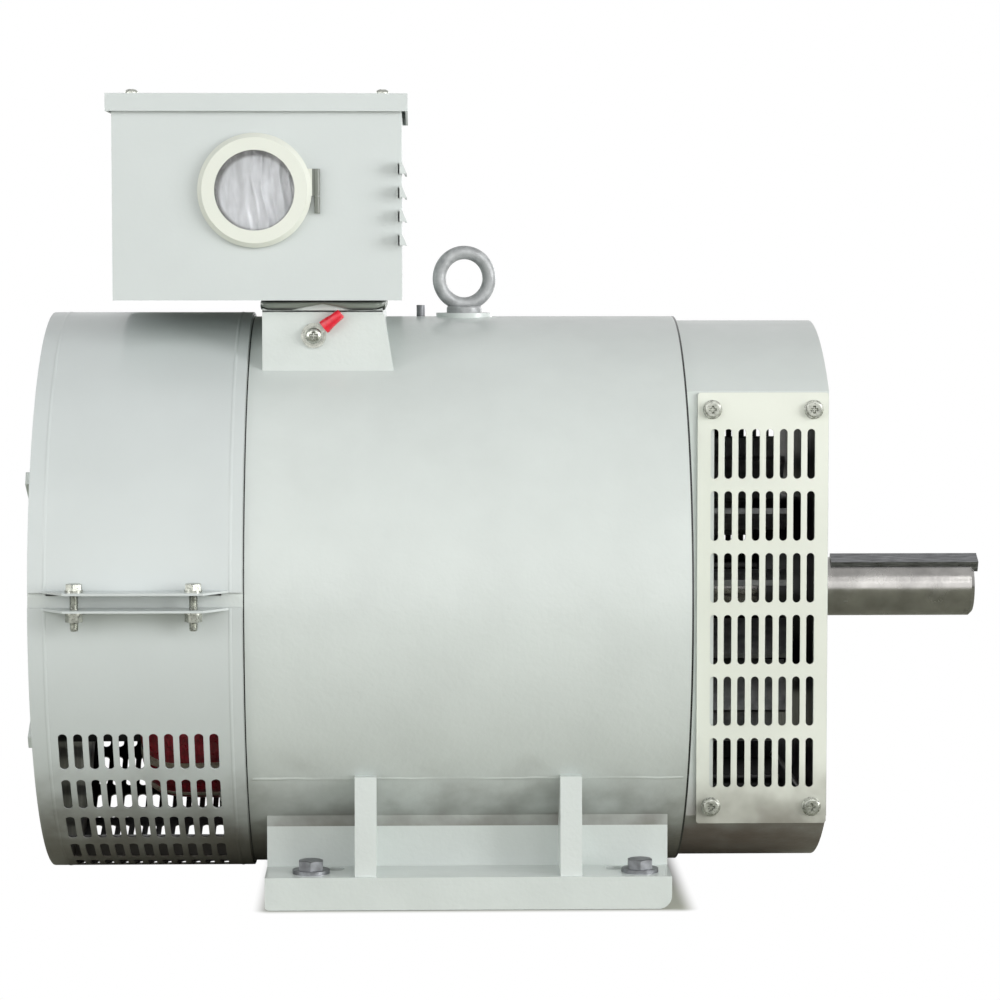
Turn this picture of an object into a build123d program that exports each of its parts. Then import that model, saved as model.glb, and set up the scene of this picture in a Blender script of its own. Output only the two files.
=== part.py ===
from build123d import *
import os
from math import cos, radians, sin, sqrt

# Brush-type synchronous alternator with a bare keyed shaft.
# Millimetres. +X along the shaft towards the drive end, +Z up, the clamp side faces -Y.
# Stations along X are measured from the middle of the stator frame. Every piece is shifted
# on export so that the origin is the centre of the free foot holes, on the foot plane.

# Stator frame
shaft_height = 200.0
frame_radius = 194.0
frame_wall = 16.0
frame_length = 298.0

# Feet, one along each side
foot_length = 273.0
foot_width_over_all = 350.0
foot_thickness = 22.0
foot_inner_width = 190.0
rear_toe_radius = 3.0
drive_toe_radius = 9.0
pedestal_width = 262.0
rib_thickness = 14.5
rib_spacing = 138.0
rib_top_height = 88.5
rib_foot_inset = 3.0
rib_top_inset = 8.0
cast_overlap = 6.0
foot_hole_offset = 5.0
free_hole_spacing_x = 190.0
free_hole_spacing_y = 284.0
free_hole_radius = 6.5
foot_screw_spacing_x = 222.0
foot_screw_spacing_y = 312.0

# Neck under the terminal box
neck_left = -139.0
neck_right = -57.0
neck_flare = 9.0
neck_depth = 222.0
neck_rise = 6.0
neck_height = 50.0
cable_way_length = 56.0
cable_way_depth = 120.0

# Lifting eyebolt and the small stud beside it
eye_pad_radius = 20.0
eye_pad_rise = 2.5
eye_ring_radius = 18.3
eye_wire_radius = 4.8
eye_rise = 24.5
eye_collar_radius = 12.5
eye_collar_height = 5.0
eye_shank_radius = 5.0
eye_shank_length = 14.0
eye_fillet = 2.0
eye_turn = 14.0
stud_x = -31.0
stud_radius = 3.0
stud_height = 8.0
stud_depth = 7.0

# Drive-end shield: a drum with two flats that carry the grilles
drum_step = 3.0
drum_length = 97.0
drum_wall = 8.0
drum_end_wall = 9.0
flat_distance = 124.0
spigot_length = 7.0
window_length = 69.0
window_height = 252.0
drive_hub_radius = 66.0
tie_inset = 7.5
tie_angle = 30.0
tie_boss_radius = 8.0
tie_recess_radius = 6.8
tie_recess_depth = 6.0

# Grille plates
grille_thickness = 2.0
grille_length = 89.0
grille_height = 295.0
grille_drop = 3.0
grille_corner = 2.0
grille_end_inset = 0.5
grille_columns = 8
grille_rows = 6
grille_column_pitch = 9.4
grille_row_pitch = 42.3
grille_slot_width = 5.3
grille_slot_length = 34.0
grille_screw_spacing_x = 69.0
grille_screw_spacing_z = 272.0

# Rear shield: a spider with four bars under the wrap-round cover
rear_length = 141.5
rear_plate_thickness = 12.0
rear_rim_thickness = 14.0
rear_bar_width = 28.0
rear_bar_depth = 14.0
rear_hub_radius = 60.0
rear_rib_count = 6
rear_rib_width = 9.0
rear_rib_height = 5.0
rear_rib_reach = 178.0
rear_ring_inset = 8.0

# Wrap-round brush cover in two halves
cover_step = 3.0
cover_sheet = 1.5
cover_parting_height = 211.0
cover_gap = 10.0
cover_joint_gap = 0.5
flange_reach = 19.0
flange_root_length = 124.0
flange_tip_length = 92.0
clamp_screw_spacing = 78.0
slot_columns = 11
slot_rows = 12
slot_column_pitch = 10.05
slot_row_angle = 11.24
slot_width = 6.1
slot_arc_length = 29.5

# Bearings: bore, outside, width
drive_bearing_bore = 45.0
drive_bearing_outside = 100.0
drive_bearing_width = 25.0
rear_bearing_bore = 35.0
rear_bearing_outside = 80.0
rear_bearing_width = 21.0
race_thickness_share = 0.3
bearing_shoulder = 4.0
seal_inset = 0.8
seal_thickness = 1.2
drive_cap_thickness = 5.0
rear_cap_thickness = 8.0
cap_rim = 2.0

# Shaft
extension_diameter = 42.0
extension_length = 110.0
extension_start = 254.5
extension_chamfer = 2.5
fan_seat_diameter = 54.0
core_seat_diameter = 60.0
ring_seat_diameter = 50.0
key_width = 12.0
key_height = 8.0
key_sunk = 5.0
key_start = 262.0
key_overhang = 2.8
key_tilt = 27.0

# Stator pack and winding
core_start = -125.0
core_end = 95.0
stator_bore_radius = 110.0
air_way_depth = 13.0
core_rib_count = 8
core_rib_width = 18.0
winding_inner_radius = 115.0
winding_step = 15.0
winding_rear_reach = 100.0
winding_drive_reach = 42.0
winding_chamfer = 10.0
winding_clearance = 6.0

# Rotor with four salient poles
air_gap = 1.0
rotor_hub_radius = 55.0
pole_count = 4
pole_body_width = 56.0
pole_shoe_thickness = 15.0
pole_shoe_half_angle = 32.0
coil_bottom_radius = 58.0
coil_top_radius = 82.0
coil_thickness = 14.5

# Cooling fan
fan_radius = 112.0
fan_start = 160.0
fan_hub_length = 16.0
fan_hub_radius = 40.0
fan_disc_thickness = 4.0
fan_disc_offset = 2.0
fan_blade_root_gap = 5.0
fan_blade_tip_inset = 3.0
fan_blade_count = 13
fan_blade_thickness = 4.0
fan_blade_length = 60.0
fan_blade_lean = 20.0

# Slip rings and brush gear
ring_hub_start = -253.0
ring_hub_end = -205.0
ring_hub_radius = 34.0
slip_ring_radius = 42.0
slip_ring_width = 14.0
slip_ring_spacing = 24.0
brush_length_x = 10.0
brush_width_y = 20.0
brush_height = 32.0
holder_margin = 9.0
holder_bottom = 92.0
holder_arm_height = 22.0
brush_heel = 6.0
spring_length = 15.0
spring_radius = 4.0
spring_wall = 1.0

# Earth terminal on the front of the neck
earth_x = -104.0
earth_z = 383.0
earth_lug_angle = 37.0
earth_screw_length = 14.0
lug_thickness = 1.2
lug_eye_radius = 6.2
lug_tail_length = 10.0
lug_tail_width = 5.0
earth_washer = (8.5, 1.2)
spring_washer = (6.5, 1.0)
sleeve_radius = 3.6
sleeve_length = 11.0
sleeve_start = 11.0
sleeve_seat = 0.3
sleeve_wall = 1.0
sleeve_bore_depth = 5.0

# Terminal box
box_left = -239.0
box_right = -44.0
box_depth = 250.0
box_sheet = 1.5
box_top = 544.2
gasket_thickness = 7.0
gasket_margin = 3.5
box_flange_width = 14.0
lid_overhang = 4.0
lid_lip = 12.0
lid_screw_spacing_x = 169.0
lid_screw_spacing_y = 234.0
lid_screw_length = 6.0
box_screw_spacing_x = 68.0
box_screw_spacing_y = 190.0
box_screw_bite = 14.0
louvre_count = 4
louvre_pitch = 16.0
louvre_top_height = 500.0
louvre_length = 90.0
louvre_reach = 3.4
louvre_height = 8.0
louvre_wall = 1.2

# Round window in the box front, hinged at its right
window_x = -143.0
window_z = 481.0
window_ring_radius = 38.5
window_bore_radius = 27.0
window_ring_thickness = 6.0
window_bevel = 3.0
window_cut_radius = 29.5
glass_radius = 29.5
glass_thickness = 2.6
hinge_offset = 3.6
hinge_knuckle_radius = 1.9
hinge_pin_radius = 0.8
hinge_leaf = 1.6
hinge_top = 495.5
hinge_split = 477.0
hinge_bottom = 465.5

# Panel meter behind the window
meter_size = 80.0
meter_front_thickness = 5.0
meter_body_size = 66.0
meter_body_depth = 38.0
meter_recess = 4.0
dial_size = 58.0
dial_thickness = 1.0
film_depth = 4.3
needle_width = 1.4
needle_reach = 21.0
needle_tail = 9.0
needle_tail_width = 4.6
needle_thickness = 0.6
needle_pivot_drop = 16.0
needle_rest_angle = 45.0
needle_lift = 1.2
needle_boss_radius = 2.4
needle_tip_width = 0.6
dial_post_radius = 1.0
dial_post_rise = 1.6

# Terminal board
board_length = 120.0
board_depth = 70.0
board_thickness = 8.0
board_height = 30.0
board_foot = 12.0
board_centre_y = 40.0
stud_count = 4
stud_pitch = 28.0
terminal_stud_radius = 4.0
terminal_stud_length = 34.0
terminal_stud_tail = 8.0
terminal_nut_across = 13.0
terminal_nut_height = 6.0

# Rectifier and cable entry
rectifier_size = 46.0
rectifier_depth = 22.0
rectifier_x = -190.0
rectifier_z = 470.0
rectifier_tab_spacing = 27.6
rectifier_tab_width = 6.0
rectifier_tab_thickness = 1.0
rectifier_tab_length = 9.0
grommet_bore_radius = 14.0
grommet_neck_radius = 18.0
grommet_rim_radius = 22.0
grommet_rim_thickness = 3.0
grommet_x = -100.0
grommet_z = 440.0

# Fasteners: shank radius, head across flats, head height
head_chamfer_share = 0.95
head_chamfer_slope = 1.7
pan_rounding = 0.5
m5 = (2.5, 8.0, 3.5)
m6 = (3.0, 10.0, 4.0)
m8 = (4.0, 13.0, 5.3)
m10 = (5.0, 16.0, 6.4)
m5_pan = (2.5, 9.0, 3.2)
m6_pan = (3.0, 11.0, 3.6)
flange_radius = 6.5
flange_thickness = 1.2
clamp_nut_height = 5.0
clamp_tail = 6.0
rear_screw_bite = 16.0
drive_screw_bite = 10.0
cap_screw_bite = 10.0
cap_screw_count = 3
rear_tie_count = 4
rear_tie_start = 45.0
washer_thickness = 1.6
foot_washer_radius = 12.5
foot_washer_thickness = 2.5

# Clearances
seat_gap = 0.3
hole_gap = 0.4
shaft_gap = 0.3
running_gap = 0.06
fit_gap = 0.1

# Cutters that pass right through a wall, and the angle straight up
through_cut = 40.0
top_angle = 90.0

# Stations and sizes that follow
frame_end = frame_length / 2
frame_bore_radius = frame_radius - frame_wall
neck_top = shaft_height + frame_radius + neck_rise
neck_root = neck_top - neck_height
eye_pad_top = shaft_height + frame_radius + eye_pad_rise
drum_radius = frame_radius - drum_step
tie_circle_radius = drum_radius - tie_inset
cover_radius = frame_radius + cover_step
core_radius = frame_bore_radius - air_way_depth
winding_outer_radius = core_radius - winding_step
drum_end = frame_end + drum_length
rear_end = -frame_end - rear_length
rear_plate_inner = rear_end + rear_plate_thickness
rear_ring_inner = -frame_end - rear_rim_thickness
cover_seat_radius = cover_radius - cover_sheet - seat_gap
extension_radius = extension_diameter / 2
shaft_end = extension_start + extension_length
drive_bearing_end = drum_end - spigot_length
drive_bearing_start = drive_bearing_end - drive_bearing_width
rear_bearing_start = rear_end + spigot_length
rear_bearing_end = rear_bearing_start + rear_bearing_width
grille_centre = drum_end - grille_length / 2 - grille_end_inset
grille_middle_height = shaft_height - grille_drop
window_centre = drum_end - drum_end_wall - window_length / 2
cover_slot_centre = rear_end + rear_length / 2
clamp_centre = cover_slot_centre
foot_outer = foot_width_over_all / 2
gasket_top = neck_top + gasket_thickness
eye_centre_height = eye_pad_top + eye_rise
neck_middle = (neck_left + neck_right) / 2
box_middle = (box_left + box_right) / 2
box_front = box_depth / 2
lid_bottom = box_top + seat_gap
brush_bottom = shaft_height - slip_ring_radius - fit_gap - brush_height
holder_top = brush_bottom + brush_height * 0.75
ring_middle = (ring_hub_start + ring_hub_end) / 2
rear_tie_radius = frame_radius - frame_wall / 2
neck_face = -neck_depth / 2
hinge_x = window_x + window_ring_radius + hinge_offset
hinge_y = -box_front - seat_gap - hinge_knuckle_radius
tie_y = tie_circle_radius * sin(radians(tie_angle))
tie_z = tie_circle_radius * cos(radians(tie_angle))
tie_points = [(sy * tie_y, sz * tie_z) for sy in (-1, 1) for sz in (-1, 1)]

SHAFT_PLANE = Plane(origin=(0, 0, shaft_height), x_dir=(0, 1, 0), z_dir=(1, 0, 0))


def block(x_low, x_high, y_low, y_high, z_low, z_high):
    """Rectangular block between two corners."""
    middle = Pos((x_low + x_high) / 2, (y_low + y_high) / 2, (z_low + z_high) / 2)
    return middle * Box(x_high - x_low, y_high - y_low, z_high - z_low)


def along_shaft(sketch, x_low, x_high):
    """Extrude a section drawn across the shaft axis between two stations."""
    return extrude(SHAFT_PLANE.offset(x_low) * sketch, x_high - x_low)


def drum(x_low, x_high, outer, inner=0.0):
    """Round bar, or tube when it has an inner radius, on the shaft axis."""
    section = Circle(outer)
    if inner > 0:
        section = section - Circle(inner)
    return along_shaft(section, x_low, x_high)


def about_shaft(shape, angle):
    """Turn a shape about the shaft axis."""
    return Pos(0, 0, shaft_height) * Rot(X=angle) * Pos(0, 0, -shaft_height) * shape


def upright(x, y, z_low, z_high, radius):
    """Vertical round bar."""
    return Pos(x, y, (z_low + z_high) / 2) * Cylinder(radius, z_high - z_low)


def facing(y_low, y_high, x, z, radius):
    """Round bar along Y."""
    middle = Pos(x, (y_low + y_high) / 2, z)
    return middle * Rot(X=90) * Cylinder(radius, y_high - y_low)


def screw(size, length):
    """Hexagon screw along +Z with its chamfered head above z = 0 and its shank below."""
    shank, across, height = size
    top = head_chamfer_share * across / 2
    cone = Pos(0, 0, height / 2) * Cone(top + head_chamfer_slope * height, top, height)
    head = extrude(RegularPolygon(across / 2, 6, major_radius=False), height) & cone
    return head + extrude(Circle(shank), -length)


def flanged_screw(size, length):
    """Hexagon screw with a round flange under its head."""
    return screw(size, length) + extrude(Circle(flange_radius), flange_thickness)


def pan_screw(size, length):
    """Screw with a low rounded head."""
    shank, across, height = size
    head = extrude(Circle(across / 2), height)
    rim = head.edges().group_by(Axis.Z)[-1]
    head = fillet(rim, height * pan_rounding)
    return head + extrude(Circle(shank), -length)


def washer(outer, inner, thickness):
    """Flat washer standing on z = 0."""
    return extrude(Circle(outer) - Circle(inner), thickness)


def nut(size, height):
    """Hexagon nut standing on z = 0, bored to clear its screw."""
    shank, across, _ = size
    return extrude(RegularPolygon(across / 2, 6, major_radius=False) - Circle(shank + fit_gap), height)


def corners(spacing_x, spacing_y):
    """The four corners of a centred rectangle."""
    return [(sx * spacing_x / 2, sy * spacing_y / 2) for sx in (-1, 1) for sy in (-1, 1)]


def circle_points(radius, count, start=top_angle):
    """Points on a circle across the shaft: angle, y, z."""
    angles = [start + 360 * i / count for i in range(count)]
    return [(a, radius * cos(radians(a)), shaft_height + radius * sin(radians(a))) for a in angles]


def make_stator_frame():
    """Cast cylinder with two ribbed feet, the box neck and the eyebolt pad."""
    body = drum(-frame_end, frame_end, frame_radius)
    half = foot_length / 2
    for side in (-1, 1):
        sole = block(-half, half, foot_inner_width / 2, foot_outer, 0, foot_thickness)
        toe_edges = sole.edges().filter_by(Axis.Y).group_by(Axis.Z)[0].sort_by(Axis.X)
        sole = fillet(toe_edges[0], rear_toe_radius)
        toe_edges = sole.edges().filter_by(Axis.Y).group_by(Axis.Z)[0].sort_by(Axis.X)
        sole = fillet(toe_edges[-1], drive_toe_radius)
        wall_top = shaft_height - sqrt(frame_radius**2 - (pedestal_width / 2) ** 2)
        wall = block(-half, half, foot_inner_width / 2, pedestal_width / 2, foot_thickness, wall_top + cast_overlap)
        foot = sole + wall
        rib_root = sqrt(frame_radius**2 - (shaft_height - rib_top_height) ** 2) - cast_overlap
        rib_outline = Polyline(
            (pedestal_width / 2 - 2, foot_thickness - 1),
            (foot_outer - rib_foot_inset, foot_thickness - 1),
            (foot_outer - rib_top_inset, rib_top_height),
            (rib_root, rib_top_height),
            (pedestal_width / 2 - 2, wall_top + 4),
            close=True,
        )
        rib_face = make_face(Plane(origin=(-rib_thickness / 2, 0, 0), x_dir=(0, 1, 0), z_dir=(1, 0, 0)) * rib_outline)
        rib = extrude(rib_face, rib_thickness)
        for end in (-1, 1):
            foot += Pos(end * rib_spacing / 2, 0, 0) * rib
        if side < 0:
            foot = mirror(foot, Plane.XZ)
        body += foot
    neck_outline = Polyline(
        (neck_left, neck_root),
        (neck_left, neck_top),
        (neck_right, neck_top),
        (neck_right + neck_flare, neck_root),
        close=True,
    )
    neck_face = make_face(Plane.XZ * neck_outline)
    body += extrude(neck_face, neck_depth / 2, both=True)
    body += upright(0, 0, shaft_height + frame_bore_radius, eye_pad_top, eye_pad_radius)
    body -= drum(-frame_end - 1, frame_end + 1, frame_bore_radius)
    for i in range(core_rib_count):
        rib = block(
            core_start,
            core_end,
            -core_rib_width / 2,
            core_rib_width / 2,
            shaft_height + core_radius - 3,
            shaft_height + frame_bore_radius + 3,
        )
        seat = rib - drum(core_start - 1, core_end + 1, core_radius)
        body += about_shaft(seat, 360 * (i + 0.5) / core_rib_count)
    body -= block(
        neck_middle - cable_way_length / 2,
        neck_middle + cable_way_length / 2,
        -cable_way_depth / 2,
        cable_way_depth / 2,
        neck_root,
        neck_top + 1,
    )
    body -= upright(0, 0, eye_pad_top - eye_shank_length - 1, eye_pad_top + 1, eye_shank_radius + fit_gap)
    stud_base = shaft_height + frame_radius
    body -= upright(stud_x, 0, stud_base - stud_depth - 0.5, stud_base + 1, stud_radius + fit_gap)
    for x, y in corners(free_hole_spacing_x, free_hole_spacing_y):
        body -= upright(x + foot_hole_offset, y, -1, foot_thickness + 1, free_hole_radius)
    for x, y in corners(foot_screw_spacing_x, foot_screw_spacing_y):
        body -= upright(x + foot_hole_offset, y, -1, foot_thickness + 1, m10[0] + hole_gap)
    for x, y in corners(box_screw_spacing_x, box_screw_spacing_y):
        body -= upright(neck_middle + x, y, neck_top - 16, neck_top + 1, m6[0] + fit_gap)
    for _, y, z in circle_points(rear_tie_radius, rear_tie_count, rear_tie_start):
        body -= Pos(-frame_end + 9, y, z) * Rot(Y=90) * Cylinder(m8[0] + fit_gap, 20)
    for y, z in tie_points:
        body -= Pos(frame_end - 9, y, shaft_height + z) * Rot(Y=90) * Cylinder(m6[0] + fit_gap, 22)
    earth_y = -neck_depth / 2
    body -= facing(earth_y - 1, earth_y + 13, earth_x, earth_z, m6[0] + fit_gap)
    return body


def make_eyebolt():
    """Forged eye on a collar with its shank in the frame pad."""
    ring = Rot(X=90) * Torus(eye_ring_radius, eye_wire_radius)
    eye = Pos(0, 0, eye_centre_height) * Rot(Z=eye_turn) * ring
    collar = upright(0, 0, eye_pad_top, eye_pad_top + eye_collar_height, eye_collar_radius)
    collar = fillet(collar.edges().group_by(Axis.Z)[-1], eye_fillet)
    shank = upright(0, 0, eye_pad_top - eye_shank_length, eye_pad_top, eye_shank_radius)
    return eye + collar + shank


def make_top_stud():
    """Small plug stud in the crown of the frame."""
    base = shaft_height + frame_radius
    return upright(stud_x, 0, base - stud_depth, base + stud_height, stud_radius)


def make_drive_end_shield():
    """Drum with two flats and a window in each, end wall with the bearing hub and four bosses."""
    slab = Rectangle(2 * flat_distance, 2 * drum_radius)
    inner_slab = Rectangle(2 * (flat_distance - drum_wall), 2 * drum_radius)
    shell = along_shaft(Circle(drum_radius) & slab, frame_end, drum_end)
    shell -= along_shaft(Circle(drum_radius - drum_wall) & inner_slab, frame_end, drum_end - drum_end_wall)
    air_way = Circle(winding_outer_radius + winding_clearance) & inner_slab
    disc = Circle(frame_bore_radius - seat_gap) - air_way
    shell += along_shaft(disc, frame_end - spigot_length, frame_end)
    shell += drum(drive_bearing_start - bearing_shoulder, drum_end, drive_hub_radius)
    for y, z in tie_points:
        boss = along_shaft(Pos(y, z) * Circle(tie_boss_radius), frame_end, drum_end)
        shell += boss & drum(frame_end, drum_end, drum_radius)
    shell -= drum(drive_bearing_start, drum_end + 1, drive_bearing_outside / 2)
    shell -= drum(frame_end, drum_end + 1, drive_bearing_outside / 2 - bearing_shoulder)
    half_window = window_length / 2
    window = block(
        window_centre - half_window,
        window_centre + half_window,
        -drum_radius,
        drum_radius,
        grille_middle_height - window_height / 2,
        grille_middle_height + window_height / 2,
    )
    shell -= window - drum(frame_end, drum_end, drive_hub_radius)
    for y, z in tie_points:
        shell -= along_shaft(Pos(y, z) * Circle(m6[0] + hole_gap), frame_end - 1, drum_end + 1)
        shell -= along_shaft(Pos(y, z) * Circle(tie_recess_radius), drum_end - tie_recess_depth, drum_end + 1)
    for _, y, z in circle_points(cap_screw_radius(drive_bearing_outside), cap_screw_count):
        shell -= Pos(drum_end - 6, y, z) * Rot(Y=90) * Cylinder(m5[0] + fit_gap, 14)
    for x, z in corners(grille_screw_spacing_x, grille_screw_spacing_z):
        hole = facing(-drum_radius, drum_radius, grille_centre + x, grille_middle_height + z, m6[0] + fit_gap)
        shell -= hole
    return shell


def cap_screw_radius(bearing_outside):
    """Radius of the circle of cap screws, in the wall round the bearing."""
    return bearing_outside / 2 + 8


def make_grille(side):
    """Flat plate with rows of upright slots; side is -1 at the front and 1 at the back."""
    plate = RectangleRounded(grille_length, grille_height, grille_corner)
    slots = GridLocations(grille_column_pitch, grille_row_pitch, grille_columns, grille_rows)
    plate -= slots * SlotOverall(grille_slot_length, grille_slot_width, rotation=90)
    screws = GridLocations(grille_screw_spacing_x, grille_screw_spacing_z, 2, 2)
    plate -= screws * Circle(m6[0] + hole_gap)
    near = Plane(
        origin=(grille_centre, side * flat_distance, grille_middle_height), x_dir=(1, 0, 0), z_dir=(0, side, 0)
    )
    return extrude(near * plate, grille_thickness)


def make_grille_screws():
    """Flanged screws at the corners of both grilles."""
    out = flat_distance + grille_thickness
    one = flanged_screw(m6, grille_thickness + drum_wall)
    turned = {-1: Rot(X=90) * one, 1: Rot(X=-90) * one}
    return [
        Pos(grille_centre + x, side * out, grille_middle_height + z) * turned[side]
        for side in (-1, 1)
        for x, z in corners(grille_screw_spacing_x, grille_screw_spacing_z)
    ]


def make_rear_end_shield():
    """Spider: frame-side ring, end plate with the bearing hub, and four bars between them."""
    ring = drum(rear_ring_inner, -frame_end, cover_seat_radius, frame_bore_radius - rear_ring_inset)
    ring += drum(-frame_end, -frame_end + spigot_length, frame_bore_radius - seat_gap, frame_bore_radius - rear_ring_inset)
    plate = drum(rear_end, rear_plate_inner, cover_seat_radius)
    hub = drum(rear_end, rear_bearing_end + bearing_shoulder, rear_hub_radius)
    reach = 2 * cover_radius
    cross = Rectangle(reach, rear_bar_width) + Rectangle(rear_bar_width, reach)
    bar_section = (Circle(cover_seat_radius) - Circle(cover_seat_radius - rear_bar_depth)) & cross
    bars = along_shaft(bar_section, rear_plate_inner, rear_ring_inner)
    shield = plate + hub + ring + bars
    ribs = [
        Rot(Z=360 * (i + 0.5) / rear_rib_count) * Pos(rear_rib_reach / 2, 0) * Rectangle(rear_rib_reach, rear_rib_width)
        for i in range(rear_rib_count)
    ]
    star = Circle(rear_hub_radius)
    for rib in ribs:
        star += rib
    shield += along_shaft(star, rear_end - rear_rib_height, rear_end) - drum(
        rear_end - rear_rib_height, rear_end, rear_hub_radius
    )
    shield -= drum(rear_end - 1, rear_bearing_end, rear_bearing_outside / 2)
    shield -= drum(rear_end - 1, 0, rear_bearing_outside / 2 - bearing_shoulder)
    for _, y, z in circle_points(rear_tie_radius, rear_tie_count, rear_tie_start):
        shield -= Pos(-frame_end - rear_rim_thickness / 2, y, z) * Rot(Y=90) * Cylinder(m8[0] + hole_gap, through_cut)
    for _, y, z in circle_points(cap_screw_radius(rear_bearing_outside), cap_screw_count):
        shield -= Pos(rear_end + 6, y, z) * Rot(Y=90) * Cylinder(m5[0] + fit_gap, 14)
    return shield


def make_tie_screws():
    """Long screws through the drive shield and short ones through the rear ring."""
    long_one = Rot(Y=90) * screw(m6, drum_length + drive_screw_bite - tie_recess_depth)
    head_seat = drum_end - tie_recess_depth
    drive = [Pos(head_seat, y, shaft_height + z) * long_one for y, z in tie_points]
    short_one = Rot(Y=-90) * screw(m8, rear_rim_thickness + rear_screw_bite)
    points = circle_points(rear_tie_radius, rear_tie_count, rear_tie_start)
    rear = [Pos(rear_ring_inner, y, z) * short_one for _, y, z in points]
    return drive, rear


def flange(side, z_low):
    """Outward flange of a cover half: a trapezoid with two screw holes."""
    rise = max(abs(z_low - shaft_height), abs(z_low + cover_sheet - shaft_height))
    root = sqrt((cover_radius - cover_sheet) ** 2 - rise**2)
    tip = cover_radius + flange_reach
    outline = Polyline(
        (-flange_root_length / 2, root - 2),
        (-flange_root_length / 2, root + 1),
        (-flange_tip_length / 2, tip),
        (flange_tip_length / 2, tip),
        (flange_root_length / 2, root + 1),
        (flange_root_length / 2, root - 2),
        close=True,
    )
    face = make_face(Plane.XY * outline)
    for end in (-1, 1):
        face -= Pos(end * clamp_screw_spacing / 2, cover_radius + flange_reach / 2) * Circle(m6[0] + hole_gap)
    plate = Pos(clamp_centre, 0, z_low) * extrude(face, cover_sheet)
    if side < 0:
        plate = mirror(plate, Plane.XZ)
    return plate


def make_cover_upper():
    """Plain upper half of the wrap-round band with a flange at each side."""
    low = cover_parting_height + cover_gap / 2
    band = drum(rear_end, -frame_end - cover_joint_gap, cover_radius, cover_radius - cover_sheet)
    band &= block(rear_end - 1, 0, -2 * cover_radius, 2 * cover_radius, low, shaft_height + cover_radius + 1)
    hollow = drum(rear_end, -frame_end, cover_radius - cover_sheet)
    for side in (-1, 1):
        band += flange(side, low) - hollow
    return band


def make_cover_lower():
    """Slotted lower half of the band: rows of slots round the underside."""
    high = cover_parting_height - cover_gap / 2
    band = drum(rear_end, -frame_end - cover_joint_gap, cover_radius, cover_radius - cover_sheet)
    band &= block(rear_end - 1, 0, -2 * cover_radius, 2 * cover_radius, shaft_height - cover_radius - 1, high)
    hollow = drum(rear_end, -frame_end, cover_radius - cover_sheet)
    for side in (-1, 1):
        band += flange(side, high - cover_sheet) - hollow
    outline = SlotOverall(slot_arc_length, slot_width, rotation=90)
    slot_cut_depth = 6 * cover_sheet
    cutter_low = shaft_height - cover_radius - slot_cut_depth / 2
    first = -(slot_columns - 1) / 2
    cutters = []
    for row in range(slot_rows):
        angle = (row - (slot_rows - 1) / 2) * slot_row_angle
        for column in range(slot_columns):
            x = cover_slot_centre + (first + column) * slot_column_pitch
            cutter = Pos(x, 0, cutter_low) * extrude(outline, slot_cut_depth)
            cutters.append(about_shaft(cutter, angle))
    return band - cutters


def make_clamp_hardware():
    """Screws down through both flanges, with a washer under each head and a nut below."""
    top = cover_parting_height + cover_gap / 2 + cover_sheet
    bottom = cover_parting_height - cover_gap / 2 - cover_sheet
    length = top - bottom + 2 * washer_thickness + clamp_nut_height + clamp_tail
    screws, washers, nuts = [], [], []
    for side in (-1, 1):
        for end in (-1, 1):
            x = clamp_centre + end * clamp_screw_spacing / 2
            y = side * (cover_radius + flange_reach / 2)
            screws.append(Pos(x, y, top + washer_thickness) * screw(m6, length))
            washers.append(Pos(x, y, top) * washer(m6[1] / 2 + 1, m6[0] + fit_gap, washer_thickness))
            washers.append(
                Pos(x, y, bottom - washer_thickness) * washer(m6[1] / 2 + 1, m6[0] + fit_gap, washer_thickness)
            )
            nuts.append(Pos(x, y, bottom - washer_thickness - clamp_nut_height) * nut(m6, clamp_nut_height))
    return screws, washers, nuts


def make_foot_hardware():
    """Screws and washers on the feet."""
    screws, washers = [], []
    for x, y in corners(foot_screw_spacing_x, foot_screw_spacing_y):
        place = Pos(x + foot_hole_offset, y, foot_thickness)
        washers.append(place * washer(foot_washer_radius, m10[0] + fit_gap, foot_washer_thickness))
        screws.append(place * Pos(0, 0, foot_washer_thickness) * screw(m10, foot_thickness))
    return screws, washers



def make_earth_hardware():
    """Earth screw on the neck with its washers and a cable lug that points up to the right."""
    spot = Pos(earth_x, neck_face, earth_z) * Rot(X=90)
    washer_radius, washer_height = earth_washer
    spring_outer, spring_height = spring_washer
    lug_low = washer_height
    spring_low = lug_low + lug_thickness
    head_low = spring_low + spring_height
    bore = m6[0] + fit_gap
    screw_body = spot * Pos(0, 0, head_low) * pan_screw(m6_pan, earth_screw_length)
    ring_low = spot * washer(washer_radius, bore, washer_height)
    ring_high = spot * Pos(0, 0, spring_low) * washer(spring_outer, bore, spring_height)
    tongue = Circle(lug_eye_radius) + Pos(lug_tail_length, 0) * Rectangle(lug_tail_length, lug_tail_width)
    tongue -= Circle(bore)
    turned = spot * Rot(Z=earth_lug_angle)
    lug = turned * Pos(0, 0, lug_low) * extrude(tongue, lug_thickness)
    sleeve_height = sleeve_radius + sleeve_seat
    boot = Pos(sleeve_start + sleeve_length / 2, 0, sleeve_height) * Rot(Y=90) * Cylinder(sleeve_radius, sleeve_length)
    slot_length = 3 * lug_tail_length + 2 * seat_gap
    slot = Pos(0, 0, lug_low + lug_thickness / 2) * Box(
        slot_length, lug_tail_width + 2 * seat_gap, lug_thickness + seat_gap
    )
    bore_middle = sleeve_start + sleeve_length - sleeve_bore_depth / 2
    mouth = Cylinder(sleeve_radius - sleeve_wall, sleeve_bore_depth)
    boot -= Pos(bore_middle, 0, sleeve_height) * Rot(Y=90) * mouth
    return screw_body, [ring_low, ring_high], lug, turned * (boot - slot)


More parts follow.
